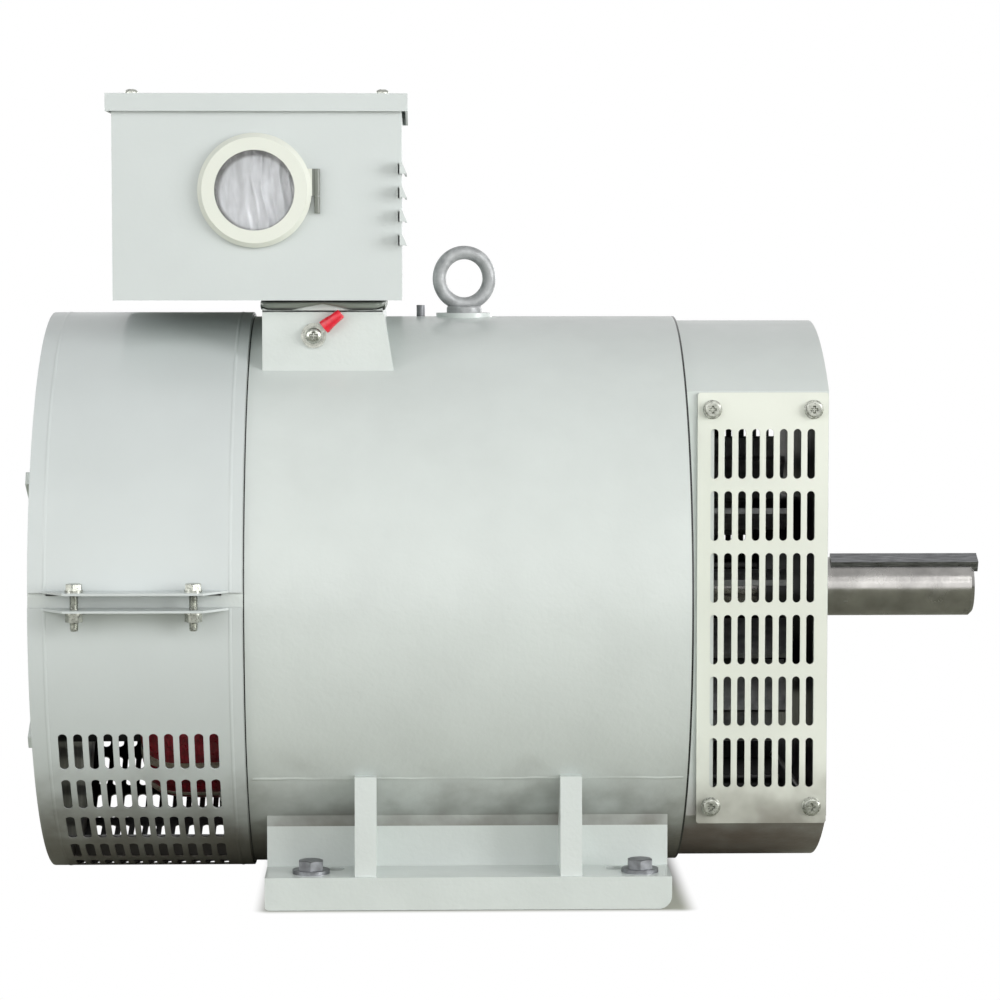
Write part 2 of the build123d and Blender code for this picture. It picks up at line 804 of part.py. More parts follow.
def make_bearings():
    """Outer races with their seals, and inner races, of the two bearings."""
    outer, inner = [], []
    sizes = (
        (drive_bearing_start, drive_bearing_end, drive_bearing_bore, drive_bearing_outside),
        (rear_bearing_start, rear_bearing_end, rear_bearing_bore, rear_bearing_outside),
    )
    for low, high, bore, outside in sizes:
        race = (outside - bore) / 2 * race_thickness_share
        shell = drum(low, high, outside / 2, outside / 2 - race)
        seal_outer, seal_inner = outside / 2 - race / 2, bore / 2 + race + running_gap
        for start in (low + seal_inset, high - seal_inset - seal_thickness):
            shell += drum(start, start + seal_thickness, seal_outer, seal_inner)
        outer.append(shell)
        inner.append(drum(low, high, bore / 2 + race, bore / 2))
    return outer, inner


def make_bearing_caps():
    """Drive cap with a shaft hole, and blind rear cap, each on a spigot."""
    drive_radius = drive_hub_radius - cap_rim
    spigot = drive_bearing_outside / 2 - seat_gap
    drive = drum(drum_end, drum_end + drive_cap_thickness, drive_radius)
    drive += drum(drive_bearing_end, drum_end, spigot, spigot - 10)
    drive -= drum(drive_bearing_end - 1, drum_end + 20, drive_bearing_bore / 2 + shaft_gap)
    rear_radius = rear_hub_radius - cap_rim
    rear_spigot = rear_bearing_outside / 2 - seat_gap
    rear = drum(rear_end - rear_cap_thickness, rear_end, rear_radius)
    rear += drum(rear_end, rear_bearing_start, rear_spigot, rear_spigot - 9)
    for _, y, z in circle_points(cap_screw_radius(drive_bearing_outside), cap_screw_count):
        drive -= Pos(drum_end, y, z) * Rot(Y=90) * Cylinder(m5[0] + hole_gap, through_cut)
    for _, y, z in circle_points(cap_screw_radius(rear_bearing_outside), cap_screw_count):
        rear -= Pos(rear_end, y, z) * Rot(Y=90) * Cylinder(m5[0] + hole_gap, through_cut)
    return drive, rear


def make_cap_screws():
    """Screws of both bearing caps."""
    drive_one = Rot(Y=90) * screw(m5, drive_cap_thickness + cap_screw_bite)
    rear_one = Rot(Y=-90) * screw(m5, rear_cap_thickness + cap_screw_bite)
    drive = [
        Pos(drum_end + drive_cap_thickness, y, z) * drive_one
        for _, y, z in circle_points(cap_screw_radius(drive_bearing_outside), cap_screw_count)
    ]
    rear = [
        Pos(rear_end - rear_cap_thickness, y, z) * rear_one
        for _, y, z in circle_points(cap_screw_radius(rear_bearing_outside), cap_screw_count)
    ]
    return drive + rear


def make_shaft():
    """Stepped shaft with an open keyway in the extension."""
    steps = (
        (rear_bearing_start, rear_bearing_end, rear_bearing_bore / 2),
        (rear_bearing_end, core_start, ring_seat_diameter / 2),
        (core_start, fan_start, core_seat_diameter / 2),
        (fan_start, drive_bearing_start, fan_seat_diameter / 2),
        (drive_bearing_start, extension_start, drive_bearing_bore / 2),
        (extension_start, shaft_end, extension_radius),
    )
    bar = None
    for low, high, radius in steps:
        piece = drum(low, high, radius)
        bar = piece if bar is None else bar + piece
    rim = bar.edges().filter_by(GeomType.CIRCLE).sort_by(Axis.X)[-1]
    bar = chamfer(rim, extension_chamfer)
    slot = block(
        key_start - fit_gap,
        shaft_end + 1,
        -key_width / 2 - fit_gap,
        key_width / 2 + fit_gap,
        shaft_height + extension_radius - key_sunk,
        shaft_height + extension_radius + 5,
    )
    return bar - about_shaft(slot, key_tilt)


def make_key():
    """Square-ended parallel key that stands a little past the shaft end."""
    key = block(
        key_start,
        shaft_end + key_overhang,
        -key_width / 2,
        key_width / 2,
        shaft_height + extension_radius - key_sunk,
        shaft_height + extension_radius - key_sunk + key_height,
    )
    return about_shaft(key, key_tilt)


def make_stator_core():
    """Laminated ring held by the ribs inside the frame, with air ways between them."""
    return drum(core_start, core_end, core_radius, stator_bore_radius)


def make_stator_winding():
    """End turns on both faces of the stator core, bevelled where they are bound."""
    profiles = (
        (core_start, core_start - winding_rear_reach),
        (core_end, core_end + winding_drive_reach),
    )
    rings = []
    for near, far in profiles:
        inward = 1 if near > far else -1
        outline = Polyline(
            (near, winding_inner_radius),
            (far + inward * winding_chamfer, winding_inner_radius),
            (far, winding_inner_radius + winding_chamfer),
            (far, winding_outer_radius - winding_chamfer),
            (far + inward * winding_chamfer, winding_outer_radius),
            (near, winding_outer_radius - winding_chamfer),
            close=True,
        )
        face = Pos(0, 0, shaft_height) * make_face(Plane.XZ * outline)
        axis = Axis((0, 0, shaft_height), (1, 0, 0))
        rings.append(revolve(face, axis))
    return rings


def make_rotor_core():
    """Hub with salient poles, each a straight body under a curved shoe."""
    tip = stator_bore_radius - air_gap
    under = tip - pole_shoe_thickness
    section = Circle(rotor_hub_radius)
    wide = tip * 1.5
    half = radians(pole_shoe_half_angle)
    wedge = make_face(
        Polyline((0, 0), (-wide * sin(half), wide * cos(half)), (wide * sin(half), wide * cos(half)), close=True)
    )
    shoe = (Circle(tip) - Circle(under)) & wedge
    stem = Pos(0, (under + 2) / 2) * Rectangle(pole_body_width, under + 2)
    for i in range(pole_count):
        section += Rot(Z=360 * i / pole_count) * shoe
        section += Rot(Z=360 * i / pole_count) * stem
    section -= Circle(core_seat_diameter / 2)
    return along_shaft(section, core_start + 3, core_end - 3)


def make_field_coils():
    """Rectangular coil round each pole body."""
    half = pole_body_width / 2 + seat_gap
    low, high = core_start + 3 - seat_gap, core_end - 3 + seat_gap
    bottom, top = shaft_height + coil_bottom_radius, shaft_height + coil_top_radius
    wall = coil_thickness
    coil = block(low - wall, high + wall, -half - wall, half + wall, bottom, top)
    coil -= block(low, high, -half, half, bottom - 1, top + 1)
    return [about_shaft(coil, 360 * i / pole_count) for i in range(pole_count)]


def make_fan():
    """Radial fan: hub, back disc and leaning blades that reach past the bearing hub."""
    bore = fan_seat_diameter / 2
    disc_start = fan_start + fan_disc_offset
    fan = drum(fan_start, fan_start + fan_hub_length, fan_hub_radius)
    fan += drum(disc_start, disc_start + fan_disc_thickness, fan_radius)
    root = drive_hub_radius + fan_blade_root_gap
    blade_low = disc_start + fan_disc_thickness / 2
    blade = block(
        blade_low,
        blade_low + fan_blade_length,
        root,
        fan_radius - fan_blade_tip_inset,
        shaft_height - fan_blade_thickness / 2,
        shaft_height + fan_blade_thickness / 2,
    )
    pivot = Pos(0, root, shaft_height)
    blade = pivot * Rot(X=fan_blade_lean) * pivot.inverse() * blade
    for i in range(fan_blade_count):
        fan += about_shaft(blade, 360 * i / fan_blade_count)
    return fan - drum(fan_start - 1, fan_start + fan_hub_length + 1, bore)


def make_slip_rings():
    """Two brass rings on an insulating hub."""
    hub = drum(ring_hub_start, ring_hub_end, ring_hub_radius, ring_seat_diameter / 2)
    rings = []
    for end in (-1, 1):
        middle = ring_middle + end * slip_ring_spacing / 2
        rings.append(
            drum(middle - slip_ring_width / 2, middle + slip_ring_width / 2, slip_ring_radius, ring_hub_radius)
        )
    return hub, rings


def brush_pocket(end, clearance, low, high):
    """Space of one brush, widened by a clearance."""
    x = ring_middle + end * slip_ring_spacing / 2
    half_x, half_y = brush_length_x / 2 + clearance, brush_width_y / 2 + clearance
    return block(x - half_x, x + half_x, -half_y, half_y, low, high)


def make_brush_holder():
    """Moulded holder under the slip rings with two pockets and an arm to the end plate."""
    half_x = slip_ring_spacing / 2 + brush_length_x / 2 + holder_margin
    half_y = brush_width_y / 2 + holder_margin
    body = block(ring_middle - half_x, ring_middle + half_x, -half_y, half_y, holder_bottom, holder_top)
    arm_top = holder_bottom + holder_arm_height
    body += block(rear_plate_inner, ring_middle - half_x, -half_y, half_y, holder_bottom, arm_top)
    for end in (-1, 1):
        body -= brush_pocket(end, seat_gap, brush_bottom - spring_length, holder_top + 1)
    return body


def make_brush(end):
    """Carbon brush whose top is hollowed to the slip ring."""
    body = brush_pocket(end, 0.0, brush_bottom, brush_bottom + brush_height + brush_heel)
    return body - drum(ring_hub_start, ring_hub_end, slip_ring_radius + fit_gap)


def make_brush_spring(end):
    """Spring between the pocket floor and the brush, as a plain sleeve of its outer shape."""
    x = ring_middle + end * slip_ring_spacing / 2
    low = brush_bottom - spring_length
    sleeve = washer(spring_radius, spring_radius - spring_wall, spring_length)
    return Pos(x, 0, low) * sleeve


def make_box_body():
    """Folded sheet box, open on top, with an inward flange, louvres and a round window."""
    body = block(box_left, box_right, -box_front, box_front, gasket_top, box_top)
    t = box_sheet
    body -= block(
        box_left + t, box_right - t, -box_front + t, box_front - t, gasket_top + t, box_top - t
    )
    f = box_flange_width
    body -= block(box_left + f, box_right - f, -box_front + f, box_front - f, box_top - t - 1, box_top + 1)
    body -= block(
        neck_middle - cable_way_length / 2,
        neck_middle + cable_way_length / 2,
        -cable_way_depth / 2,
        cable_way_depth / 2,
        gasket_top - 1,
        gasket_top + t + 1,
    )
    body -= facing(-box_front - 1, -box_front + t + 1, window_x, window_z, window_cut_radius)
    body -= facing(box_front - t - 1, box_front + 1, grommet_x, grommet_z, grommet_neck_radius)
    for x, y in corners(lid_screw_spacing_x, lid_screw_spacing_y):
        body -= upright(box_middle + x, y, box_top - t - 1, box_top + 1, m5[0] + fit_gap)
    for x, y in corners(box_screw_spacing_x, box_screw_spacing_y):
        body -= upright(neck_middle + x, y, gasket_top - 1, gasket_top + t + 1, m6[0] + hole_gap)
    side = Plane.XZ.offset(louvre_length / 2)
    for i in range(louvre_count):
        z = louvre_top_height - i * louvre_pitch
        hood = make_face(
            side
            * Polyline(
                (box_right - t, z),
                (box_right, z),
                (box_right + louvre_reach, z - louvre_height),
                (box_right - t, z - louvre_height),
                close=True,
            )
        )
        inside = make_face(
            side
            * Polyline(
                (box_right - t - 1, z - louvre_wall),
                (box_right, z - louvre_wall),
                (box_right + louvre_reach - louvre_wall, z - louvre_height - fit_gap),
                (box_right - t - 1, z - louvre_height - fit_gap),
                close=True,
            )
        )
        body += extrude(hood, -louvre_length)
        body -= Pos(0, louvre_wall, 0) * extrude(inside, -louvre_length + 2 * louvre_wall)
    return body


def make_box_lid():
    """Shallow tray that hangs over the box on every side."""
    o = lid_overhang
    t = box_sheet
    top = lid_bottom + t
    lid = block(box_left - o, box_right + o, -box_front - o, box_front + o, top - lid_lip, top)
    lid -= block(
        box_left - o + t, box_right + o - t, -box_front - o + t, box_front + o - t, top - lid_lip - 1, lid_bottom
    )
    for x, y in corners(lid_screw_spacing_x, lid_screw_spacing_y):
        lid -= upright(box_middle + x, y, lid_bottom - 1, top + 1, m5[0] + fit_gap)
    return lid


def make_lid_screws():
    """Screws of the lid."""
    top = lid_bottom + box_sheet
    one = pan_screw(m5_pan, lid_screw_length)
    return [Pos(box_middle + x, y, top) * one for x, y in corners(lid_screw_spacing_x, lid_screw_spacing_y)]


def make_gasket():
    """Rubber seal between neck and box."""
    m = gasket_margin
    pad = block(
        neck_left - m, neck_right + m, -neck_depth / 2 - m, neck_depth / 2 + m, neck_top, gasket_top
    )
    pad -= block(
        neck_middle - cable_way_length / 2,
        neck_middle + cable_way_length / 2,
        -cable_way_depth / 2,
        cable_way_depth / 2,
        neck_top - 1,
        gasket_top + 1,
    )
    for x, y in corners(box_screw_spacing_x, box_screw_spacing_y):
        pad -= upright(neck_middle + x, y, neck_top - 1, gasket_top + 1, m6[0] + hole_gap)
    return pad


def make_box_screws():
    """Screws that hold the box down on the neck."""
    seat = gasket_top + box_sheet
    one = screw(m6, box_sheet + gasket_thickness + box_screw_bite)
    return [Pos(neck_middle + x, y, seat) * one for x, y in corners(box_screw_spacing_x, box_screw_spacing_y)]



def make_window():
    """Bevelled ring with its hinge knuckle, and the glass in its recess."""
    back = -box_front - seat_gap
    front = back - window_ring_thickness
    ring = facing(front, back, window_x, window_z, window_ring_radius)
    rim = ring.edges().filter_by(GeomType.CIRCLE).sort_by(Axis.Y)[0]
    ring = chamfer(rim, window_bevel)
    link = block(
        hinge_x - 2 * hinge_offset,
        hinge_x,
        hinge_y - hinge_leaf / 2,
        hinge_y + hinge_leaf / 2,
        hinge_split + seat_gap,
        hinge_top,
    )
    knuckle = upright(hinge_x, hinge_y, hinge_split + seat_gap, hinge_top, hinge_knuckle_radius)
    ring += link + knuckle
    ring -= facing(front - 1, back + 1, window_x, window_z, window_bore_radius)
    recess = glass_thickness + 2 * seat_gap
    ring -= facing(back - recess, back + 1, window_x, window_z, glass_radius + seat_gap)
    ring -= upright(hinge_x, hinge_y, hinge_split - 1, hinge_top + 1, hinge_pin_radius + running_gap)
    glass = facing(back - recess + seat_gap, back - seat_gap, window_x, window_z, glass_radius)
    return ring, glass


def make_hinge():
    """Fixed knuckle on the box front, and the pin that both knuckles turn on."""
    wall = -box_front
    bracket = upright(hinge_x, hinge_y, hinge_bottom, hinge_split, hinge_knuckle_radius)
    bracket += block(
        hinge_x, hinge_x + hinge_knuckle_radius, hinge_y, wall, hinge_bottom, hinge_split - hinge_knuckle_radius
    )
    bracket -= upright(hinge_x, hinge_y, hinge_bottom - 1, hinge_split + 1, hinge_pin_radius)
    pin = upright(hinge_x, hinge_y, hinge_bottom, hinge_top, hinge_pin_radius)
    return bracket, pin


def make_meter():
    """Square panel meter behind the window: case, dial, film and needle."""
    face = -box_front + box_sheet + seat_gap
    half = meter_size / 2
    case_back = face + meter_front_thickness
    case = block(window_x - half, window_x + half, face, case_back, window_z - half, window_z + half)
    inner = meter_body_size / 2
    case += block(
        window_x - inner, window_x + inner, case_back, case_back + meter_body_depth, window_z - inner, window_z + inner
    )
    dial_front = face + meter_recess + dial_thickness
    hollow = dial_size / 2 + seat_gap
    case -= block(
        window_x - hollow,
        window_x + hollow,
        face - 1,
        dial_front + dial_thickness,
        window_z - hollow,
        window_z + hollow,
    )
    d = dial_size / 2
    dial = block(window_x - d, window_x + d, dial_front, dial_front + dial_thickness, window_z - d, window_z + d)
    pivot_z = window_z - needle_pivot_drop
    post_back = dial_front + dial_thickness / 2
    dial += facing(dial_front - dial_post_rise, post_back, window_x, pivot_z, dial_post_radius)
    needle_front = dial_front - needle_lift
    outline = Polyline(
        (-needle_tail_width / 2, -needle_tail),
        (needle_tail_width / 2, -needle_tail),
        (needle_width / 2, 0),
        (needle_tip_width / 2, needle_reach),
        (-needle_tip_width / 2, needle_reach),
        (-needle_width / 2, 0),
        close=True,
    )
    needle_plane = Plane(origin=(window_x, needle_front, pivot_z), x_dir=(1, 0, 0), z_dir=(0, -1, 0))
    shape = make_face(outline) + Circle(needle_boss_radius) - Circle(dial_post_radius + running_gap)
    needle = extrude(needle_plane * Rot(Z=needle_rest_angle) * shape, needle_thickness)
    film_front = -box_front - seat_gap
    film = facing(film_front, film_front + film_depth, window_x, window_z, window_cut_radius - seat_gap)
    return case, dial, needle, film


def make_terminal_board():
    """Board on two feet, with studs and nuts."""
    floor = gasket_top + box_sheet
    low = floor + board_height
    half = board_length / 2
    front, back = board_centre_y - board_depth / 2, board_centre_y + board_depth / 2
    board = block(box_middle - half, box_middle + half, front, back, low, low + board_thickness)
    for end in (-1, 1):
        x = box_middle + end * (half - board_foot / 2)
        board += block(x - board_foot / 2, x + board_foot / 2, front, back, floor, low)
    studs, nuts = [], []
    stud_low = low - terminal_stud_tail
    nut_size = (terminal_stud_radius, terminal_nut_across, terminal_nut_height)
    for i in range(stud_count):
        x = box_middle + (i - (stud_count - 1) / 2) * stud_pitch
        board -= upright(x, board_centre_y, low - 1, low + board_thickness + 1, terminal_stud_radius + fit_gap)
        studs.append(upright(x, board_centre_y, stud_low, stud_low + terminal_stud_length, terminal_stud_radius))
        nuts.append(Pos(x, board_centre_y, low + board_thickness) * nut(nut_size, terminal_nut_height))
    return board, studs, nuts


def make_rectifier():
    """Potted bridge rectifier with four tabs, on the back wall of the box."""
    back = box_front - box_sheet
    half = rectifier_size / 2
    body = block(
        rectifier_x - half, rectifier_x + half, back - rectifier_depth, back, rectifier_z - half, rectifier_z + half
    )
    for x, z in corners(rectifier_tab_spacing, rectifier_tab_spacing):
        body += block(
            rectifier_x + x - rectifier_tab_width / 2,
            rectifier_x + x + rectifier_tab_width / 2,
            back - rectifier_depth - rectifier_tab_length,
            back - rectifier_depth,
            rectifier_z + z - rectifier_tab_thickness / 2,
            rectifier_z + z + rectifier_tab_thickness / 2,
        )
    return body


def make_grommet():
    """Rubber grommet in the back wall, grooved round the sheet."""
    rim = grommet_rim_thickness
    inside, outside = box_front - box_sheet, box_front
    body = facing(inside - rim, inside, grommet_x, grommet_z, grommet_rim_radius)
    body += facing(inside, outside, grommet_x, grommet_z, grommet_neck_radius)
    body += facing(outside, outside + rim, grommet_x, grommet_z, grommet_rim_radius)
    return body - facing(inside - 2 * rim, outside + 2 * rim, grommet_x, grommet_z, grommet_bore_radius)


def export(name, shape):
    """Shift a piece to the origin of the part and write it; a list is a group of solids."""
    solids = shape if isinstance(shape, list) else [shape]
    shift = Pos(-foot_hole_offset, 0, 0)
    pieces = [shift * one for solid in solids for one in solid.solids()]
    whole = pieces[0] if len(pieces) == 1 else Compound(children=pieces)
    export_step(whole, f"parts/{name}.step")


def main():
    os.makedirs("parts", exist_ok=True)
    export("stator_frame", make_stator_frame())
    export("eyebolt", make_eyebolt())
    export("top_stud", make_top_stud())
    export("drive_end_shield", make_drive_end_shield())
    export("drive_grille_front", make_grille(-1))
    export("drive_grille_rear", make_grille(1))
    export("grille_screws", make_grille_screws())
    export("rear_end_shield", make_rear_end_shield())
    drive_ties, rear_ties = make_tie_screws()
    export("drive_shield_screws", drive_ties)
    export("rear_shield_screws", rear_ties)
    export("brush_cover_upper", make_cover_upper())
    export("brush_cover_lower", make_cover_lower())
    clamp_screws, clamp_washers, clamp_nuts = make_clamp_hardware()
    export("cover_clamp_screws", clamp_screws)
    export("cover_clamp_washers", clamp_washers)
    export("cover_clamp_nuts", clamp_nuts)
    foot_screws, foot_washers = make_foot_hardware()
    export("foot_screws", foot_screws)
    export("foot_washers", foot_washers)
    earth_screw, earth_washers, earth_lug, earth_sleeve = make_earth_hardware()
    export("earth_screw", earth_screw)
    export("earth_washers", earth_washers)
    export("earth_lug", earth_lug)
    export("earth_sleeve", earth_sleeve)
    outer_rings, inner_rings = make_bearings()
    export("bearing_outer_rings", outer_rings)
    export("bearing_inner_rings", inner_rings)
    drive_cap, rear_cap = make_bearing_caps()
    export("drive_bearing_cap", drive_cap)
    export("rear_bearing_cap", rear_cap)
    export("bearing_cap_screws", make_cap_screws())
    export("shaft", make_shaft())
    export("shaft_key", make_key())
    export("stator_core", make_stator_core())
    export("stator_winding", make_stator_winding())
    export("rotor_core", make_rotor_core())
    export("field_coils", make_field_coils())
    export("cooling_fan", make_fan())
    ring_hub, slip_rings = make_slip_rings()
    export("slip_ring_hub", ring_hub)
    export("slip_rings", slip_rings)
    export("brush_holder", make_brush_holder())
    for end, name in ((-1, "outer"), (1, "inner")):
        export(f"brush_{name}", make_brush(end))
        export(f"brush_spring_{name}", make_brush_spring(end))
    export("terminal_box_body", make_box_body())
    export("terminal_box_lid", make_box_lid())
    export("lid_screws", make_lid_screws())
    export("box_gasket", make_gasket())
    export("box_screws", make_box_screws())
    window_ring, window_glass = make_window()
    export("window_ring", window_ring)
    export("window_glass", window_glass)
    hinge_bracket, hinge_pin = make_hinge()
    export("window_hinge_bracket", hinge_bracket)
    export("window_hinge_pin", hinge_pin)
    case, dial, needle, film = make_meter()
    export("voltmeter_case", case)
    export("voltmeter_dial", dial)
    export("voltmeter_needle", needle)
    export("protective_film", film)
    board, studs, nuts = make_terminal_board()
    export("terminal_board", board)
    export("terminal_studs", studs)
    export("terminal_nuts", nuts)
    export("rectifier_bridge", make_rectifier())
    export("cable_grommet", make_grommet())


main()
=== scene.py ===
"""Finishes, wound copper, threads, rubber and other small forms of a brush alternator head."""
from math import pi, radians

import bpy
import numpy as np
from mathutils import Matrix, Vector


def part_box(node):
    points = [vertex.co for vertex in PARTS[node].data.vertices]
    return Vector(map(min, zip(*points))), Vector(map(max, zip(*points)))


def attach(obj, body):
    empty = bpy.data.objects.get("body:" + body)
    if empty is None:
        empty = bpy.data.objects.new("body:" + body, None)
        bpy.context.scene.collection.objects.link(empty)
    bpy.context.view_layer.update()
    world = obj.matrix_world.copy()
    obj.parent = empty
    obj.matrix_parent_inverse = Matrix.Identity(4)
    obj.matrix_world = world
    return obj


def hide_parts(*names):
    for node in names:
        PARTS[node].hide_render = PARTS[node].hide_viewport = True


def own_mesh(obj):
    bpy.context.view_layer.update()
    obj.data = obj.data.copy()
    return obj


bl_info = {
    "name": "Brush alternator head",
    "version": (1, 0, 0),
    "blender": (4, 5, 0),
    "location": "View3D > Sidebar > Alternator",
    "description": "Dresses the alternator's solids with their finishes and small forms",
    "category": "Object",
}

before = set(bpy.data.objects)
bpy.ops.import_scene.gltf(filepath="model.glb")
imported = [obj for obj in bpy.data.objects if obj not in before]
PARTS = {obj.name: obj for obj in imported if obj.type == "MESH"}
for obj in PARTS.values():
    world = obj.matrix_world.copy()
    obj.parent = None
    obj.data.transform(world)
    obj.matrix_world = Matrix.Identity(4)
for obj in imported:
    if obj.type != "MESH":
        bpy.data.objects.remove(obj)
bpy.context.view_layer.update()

MM = 0.001


def node_box(node):
    """Lowest and highest corner of a solid, in millimetres."""
    low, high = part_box(node)
    return np.array(low) / MM, np.array(high) / MM


def node_middle(node):
    """Centre of a solid's box, in millimetres."""
    low, high = node_box(node)
    return (low + high) / 2


SHAFT_Z = node_middle("shaft")[2]
FOOT_PLANE = node_box("stator_frame")[0][2]


def linear(code):
    """Linear red, green and blue of an sRGB hex colour."""
    values = np.array([int(code[i : i + 2], 16) for i in (1, 3, 5)]) / 255
    return tuple(np.where(values <= 0.04045, values / 12.92, ((values + 0.055) / 1.055) ** 2.4))


def colour_property(name, description, code):
    """A colour that the user can change, given as an sRGB hex value."""
    return bpy.props.FloatVectorProperty(
        name=name, description=description, default=linear(code), size=3, min=0, max=1, subtype="COLOR"
    )


def length_property(name, description, millimetres):
    """A length that the user can change, given in millimetres and kept in metres."""
    return bpy.props.FloatProperty(
        name=name, description=description, default=millimetres * MM, min=0, unit="LENGTH", subtype="DISTANCE"
    )


class AlternatorColours(bpy.types.PropertyGroup):
    """Colours of the finishes."""

    enamel: colour_property("Enamel", "Grey-green enamel of the castings", "#cdd3d0")
    sheet_enamel: colour_property("Sheet enamel", "Enamel of the box, covers and window", "#cad0cf")
    grille_enamel: colour_property("Grille enamel", "Enamel of the two grilles", "#dde0d6")
    zinc: colour_property("Zinc", "Bright plated screws and washers", "#b4b6ae")
    dull_zinc: colour_property("Dull zinc", "Weathered screws of the feet", "#85878a")
    forging: colour_property("Forging primer", "Primer on the lifting eye", "#a6a8a9")
    steel: colour_property("Turned steel", "Bare shaft", "#a5a3a0")
    key: colour_property("Key steel", "Bright drawn key", "#77787a")
    copper_varnish: colour_property("Winding varnish", "Red insulating varnish on the coils", "#e2304c")
    nylon: colour_property("Nylon", "White brush holder", "#eeece6")
    rubber: colour_property("Rubber", "Gasket and grommet", "#1d1e1d")
    sleeve: colour_property("Sleeve", "Insulating sleeve of the earth lug", "#dd1630")
    dial: colour_property("Dial", "Printed face of the meter", "#e9ebe8")
    film: colour_property("Film", "Crumpled protective film behind the glass", "#dcdfe4")
    floor: colour_property("Floor", "Studio floor as the part sees it", "#a9ab9c")
    # brown dirt with painted shade, laid towards the bottom of the barrels
    grime_and_shade: colour_property("Grime", "Brown grime on the underside", "#4e463a")


class AlternatorSizes(bpy.types.PropertyGroup):
    """Sizes of the small forms."""

    thread_depth: length_property("Thread depth", "Height of a thread's ridges", 0.55)
    thread_pitch: length_property("Thread pitch", "Distance between the ridges of a thread", 1.0)
    bead: length_property("Bead", "Half-round bead along the cover edges", 0.9)
    parting_line: length_property("Parting line", "Ridge that the mould leaves along the frame", 0.45)
    bundle: length_property("Bundle relief", "Depth of the grooves between coil bundles", 2.2)
    wire: length_property("Spring wire", "Wire diameter of the brush springs", 0.9)
    crease: length_property("Crease", "Height of the film's creases", 3.4)
    lobe: length_property("Gasket lobe", "How far the squeezed rubber bulges out", 2.6)
    floor: length_property("Floor", "Radius of the floor", 9000)
    focal: bpy.props.FloatProperty(
        name="Focal length", description="Focal length on a 36 mm sensor", default=121.7, min=1, unit="CAMERA"
    )
    lamp: bpy.props.FloatProperty(
        name="Lamp power", description="Strength of the lamps", default=1.0, min=0, subtype="FACTOR"
    )


def colours():
    """The scene's colours."""
    return bpy.context.scene.alternator_colours


def sizes():
    """The scene's sizes."""
    return bpy.context.scene.alternator_sizes


# ---------------------------------------------------------------- surfaces


def cells(rows, columns, round_rows=False, round_columns=True):
    """Corner numbers of every cell of a grid, which may be closed along its rows or columns."""
    counts = np.arange(rows - (not round_rows)), np.arange(columns - (not round_columns))
    i, j = np.meshgrid(*counts, indexing="ij")
    h, k = (i + 1) % rows, (j + 1) % columns
    corners = [i * columns + j, h * columns + j, h * columns + k, i * columns + k]
    return np.stack([c.ravel() for c in corners], axis=1)


def joined(grids):
    """Several (points, cells) grids as one."""
    points, faces, count = [], [], 0
    for grid_points, grid_faces in grids:
        flat = np.asarray(grid_points, float).reshape(-1, 3)
        points.append(flat)
        faces.append(grid_faces + count)
        count += len(flat)
    return np.vstack(points), np.vstack(faces)


def lay(name, grids, key, stands_for=(), body="frame", sharp=35):
    """Weld the points that coincide, turn cells that collapse at a pole into triangles, face the
    surface outwards by the sign of its volume, and set it on its body."""
    points, faces = joined(grids)
    keys = np.round(points * 1e5).astype(np.int64)
    _, first, same = np.unique(keys, axis=0, return_index=True, return_inverse=True)
    points, faces = points[first], same.ravel()[faces]
    a, b, c, d = (points[faces[:, k]] for k in range(4))
    volume = np.einsum("ij,ij->", a, np.cross(b, c)) + np.einsum("ij,ij->", a, np.cross(c, d))
    if volume < 0:
        faces = faces[:, ::-1]
    pinched = np.stack([faces[:, k] == faces[:, (k + 1) % 4] for k in range(4)], axis=1)
    whole = faces[~pinched.any(axis=1)].tolist()
    once = pinched.sum(axis=1) == 1
    for k in range(4):
        rows = faces[once & pinched[:, k]]
        whole += rows[:, [k, (k + 2) % 4, (k + 3) % 4]].tolist()
    mesh = bpy.data.meshes.new(name)
    mesh.from_pydata((points * MM).tolist(), [], whole)
    mesh.validate()
    mesh.shade_smooth()
    mesh.set_sharp_from_angle(angle=radians(sharp))
    mesh.materials.append(finish(key))
    piece = bpy.data.objects.new(name, mesh)
    bpy.context.scene.collection.objects.link(piece)
    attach(piece, body)
    if stands_for:
        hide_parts(*stands_for)
    return piece


def swept(path, section):
    """A section carried along a path: at each point the section lies in the plane across the
    path, spanned by a side vector and its cross product with the path's direction."""
    path = np.asarray(path, float)
    along = np.gradient(path, axis=0)
    along /= np.linalg.norm(along, axis=1, keepdims=True)
    spread = path - path.mean(axis=0)
    normal = np.linalg.svd(spread, full_matrices=False)[2][-1]
    side = np.cross(along, normal)
    side /= np.linalg.norm(side, axis=1, keepdims=True)
    up = np.cross(side, along)
    u, v = section[:, 0], section[:, 1]
    return path[:, None] + u[None, :, None] * side[:, None] + v[None, :, None] * up[:, None]


def disc_section(radius, sides=12):
    """Points round a circle."""
    turn = np.linspace(0, 2 * pi, sides, endpoint=False)
    return radius * np.stack([np.cos(turn), np.sin(turn)], axis=1)


def capped(grid):
    """A tube grid with each end drawn in to its middle."""
    start = np.repeat(grid[:1].mean(axis=1, keepdims=True), grid.shape[1], axis=1)
    end = np.repeat(grid[-1:].mean(axis=1, keepdims=True), grid.shape[1], axis=1)
    return np.concatenate([start, grid, end])


def upright_turn(points, direction):
    """Turn points drawn along +Z so that they lie along a direction."""
    turn = np.array(Vector((0, 0, 1)).rotation_difference(Vector(direction)).to_matrix())
    return points @ turn.T


def hexagon(turn, across):
    """Distance from the middle to a hexagon's side at each angle: half the width across its flats
    over the cosine of the angle from the nearest flat's middle."""
    off = (turn + pi / 6) % (pi / 3) - pi / 6
    return across / 2 / np.cos(off)


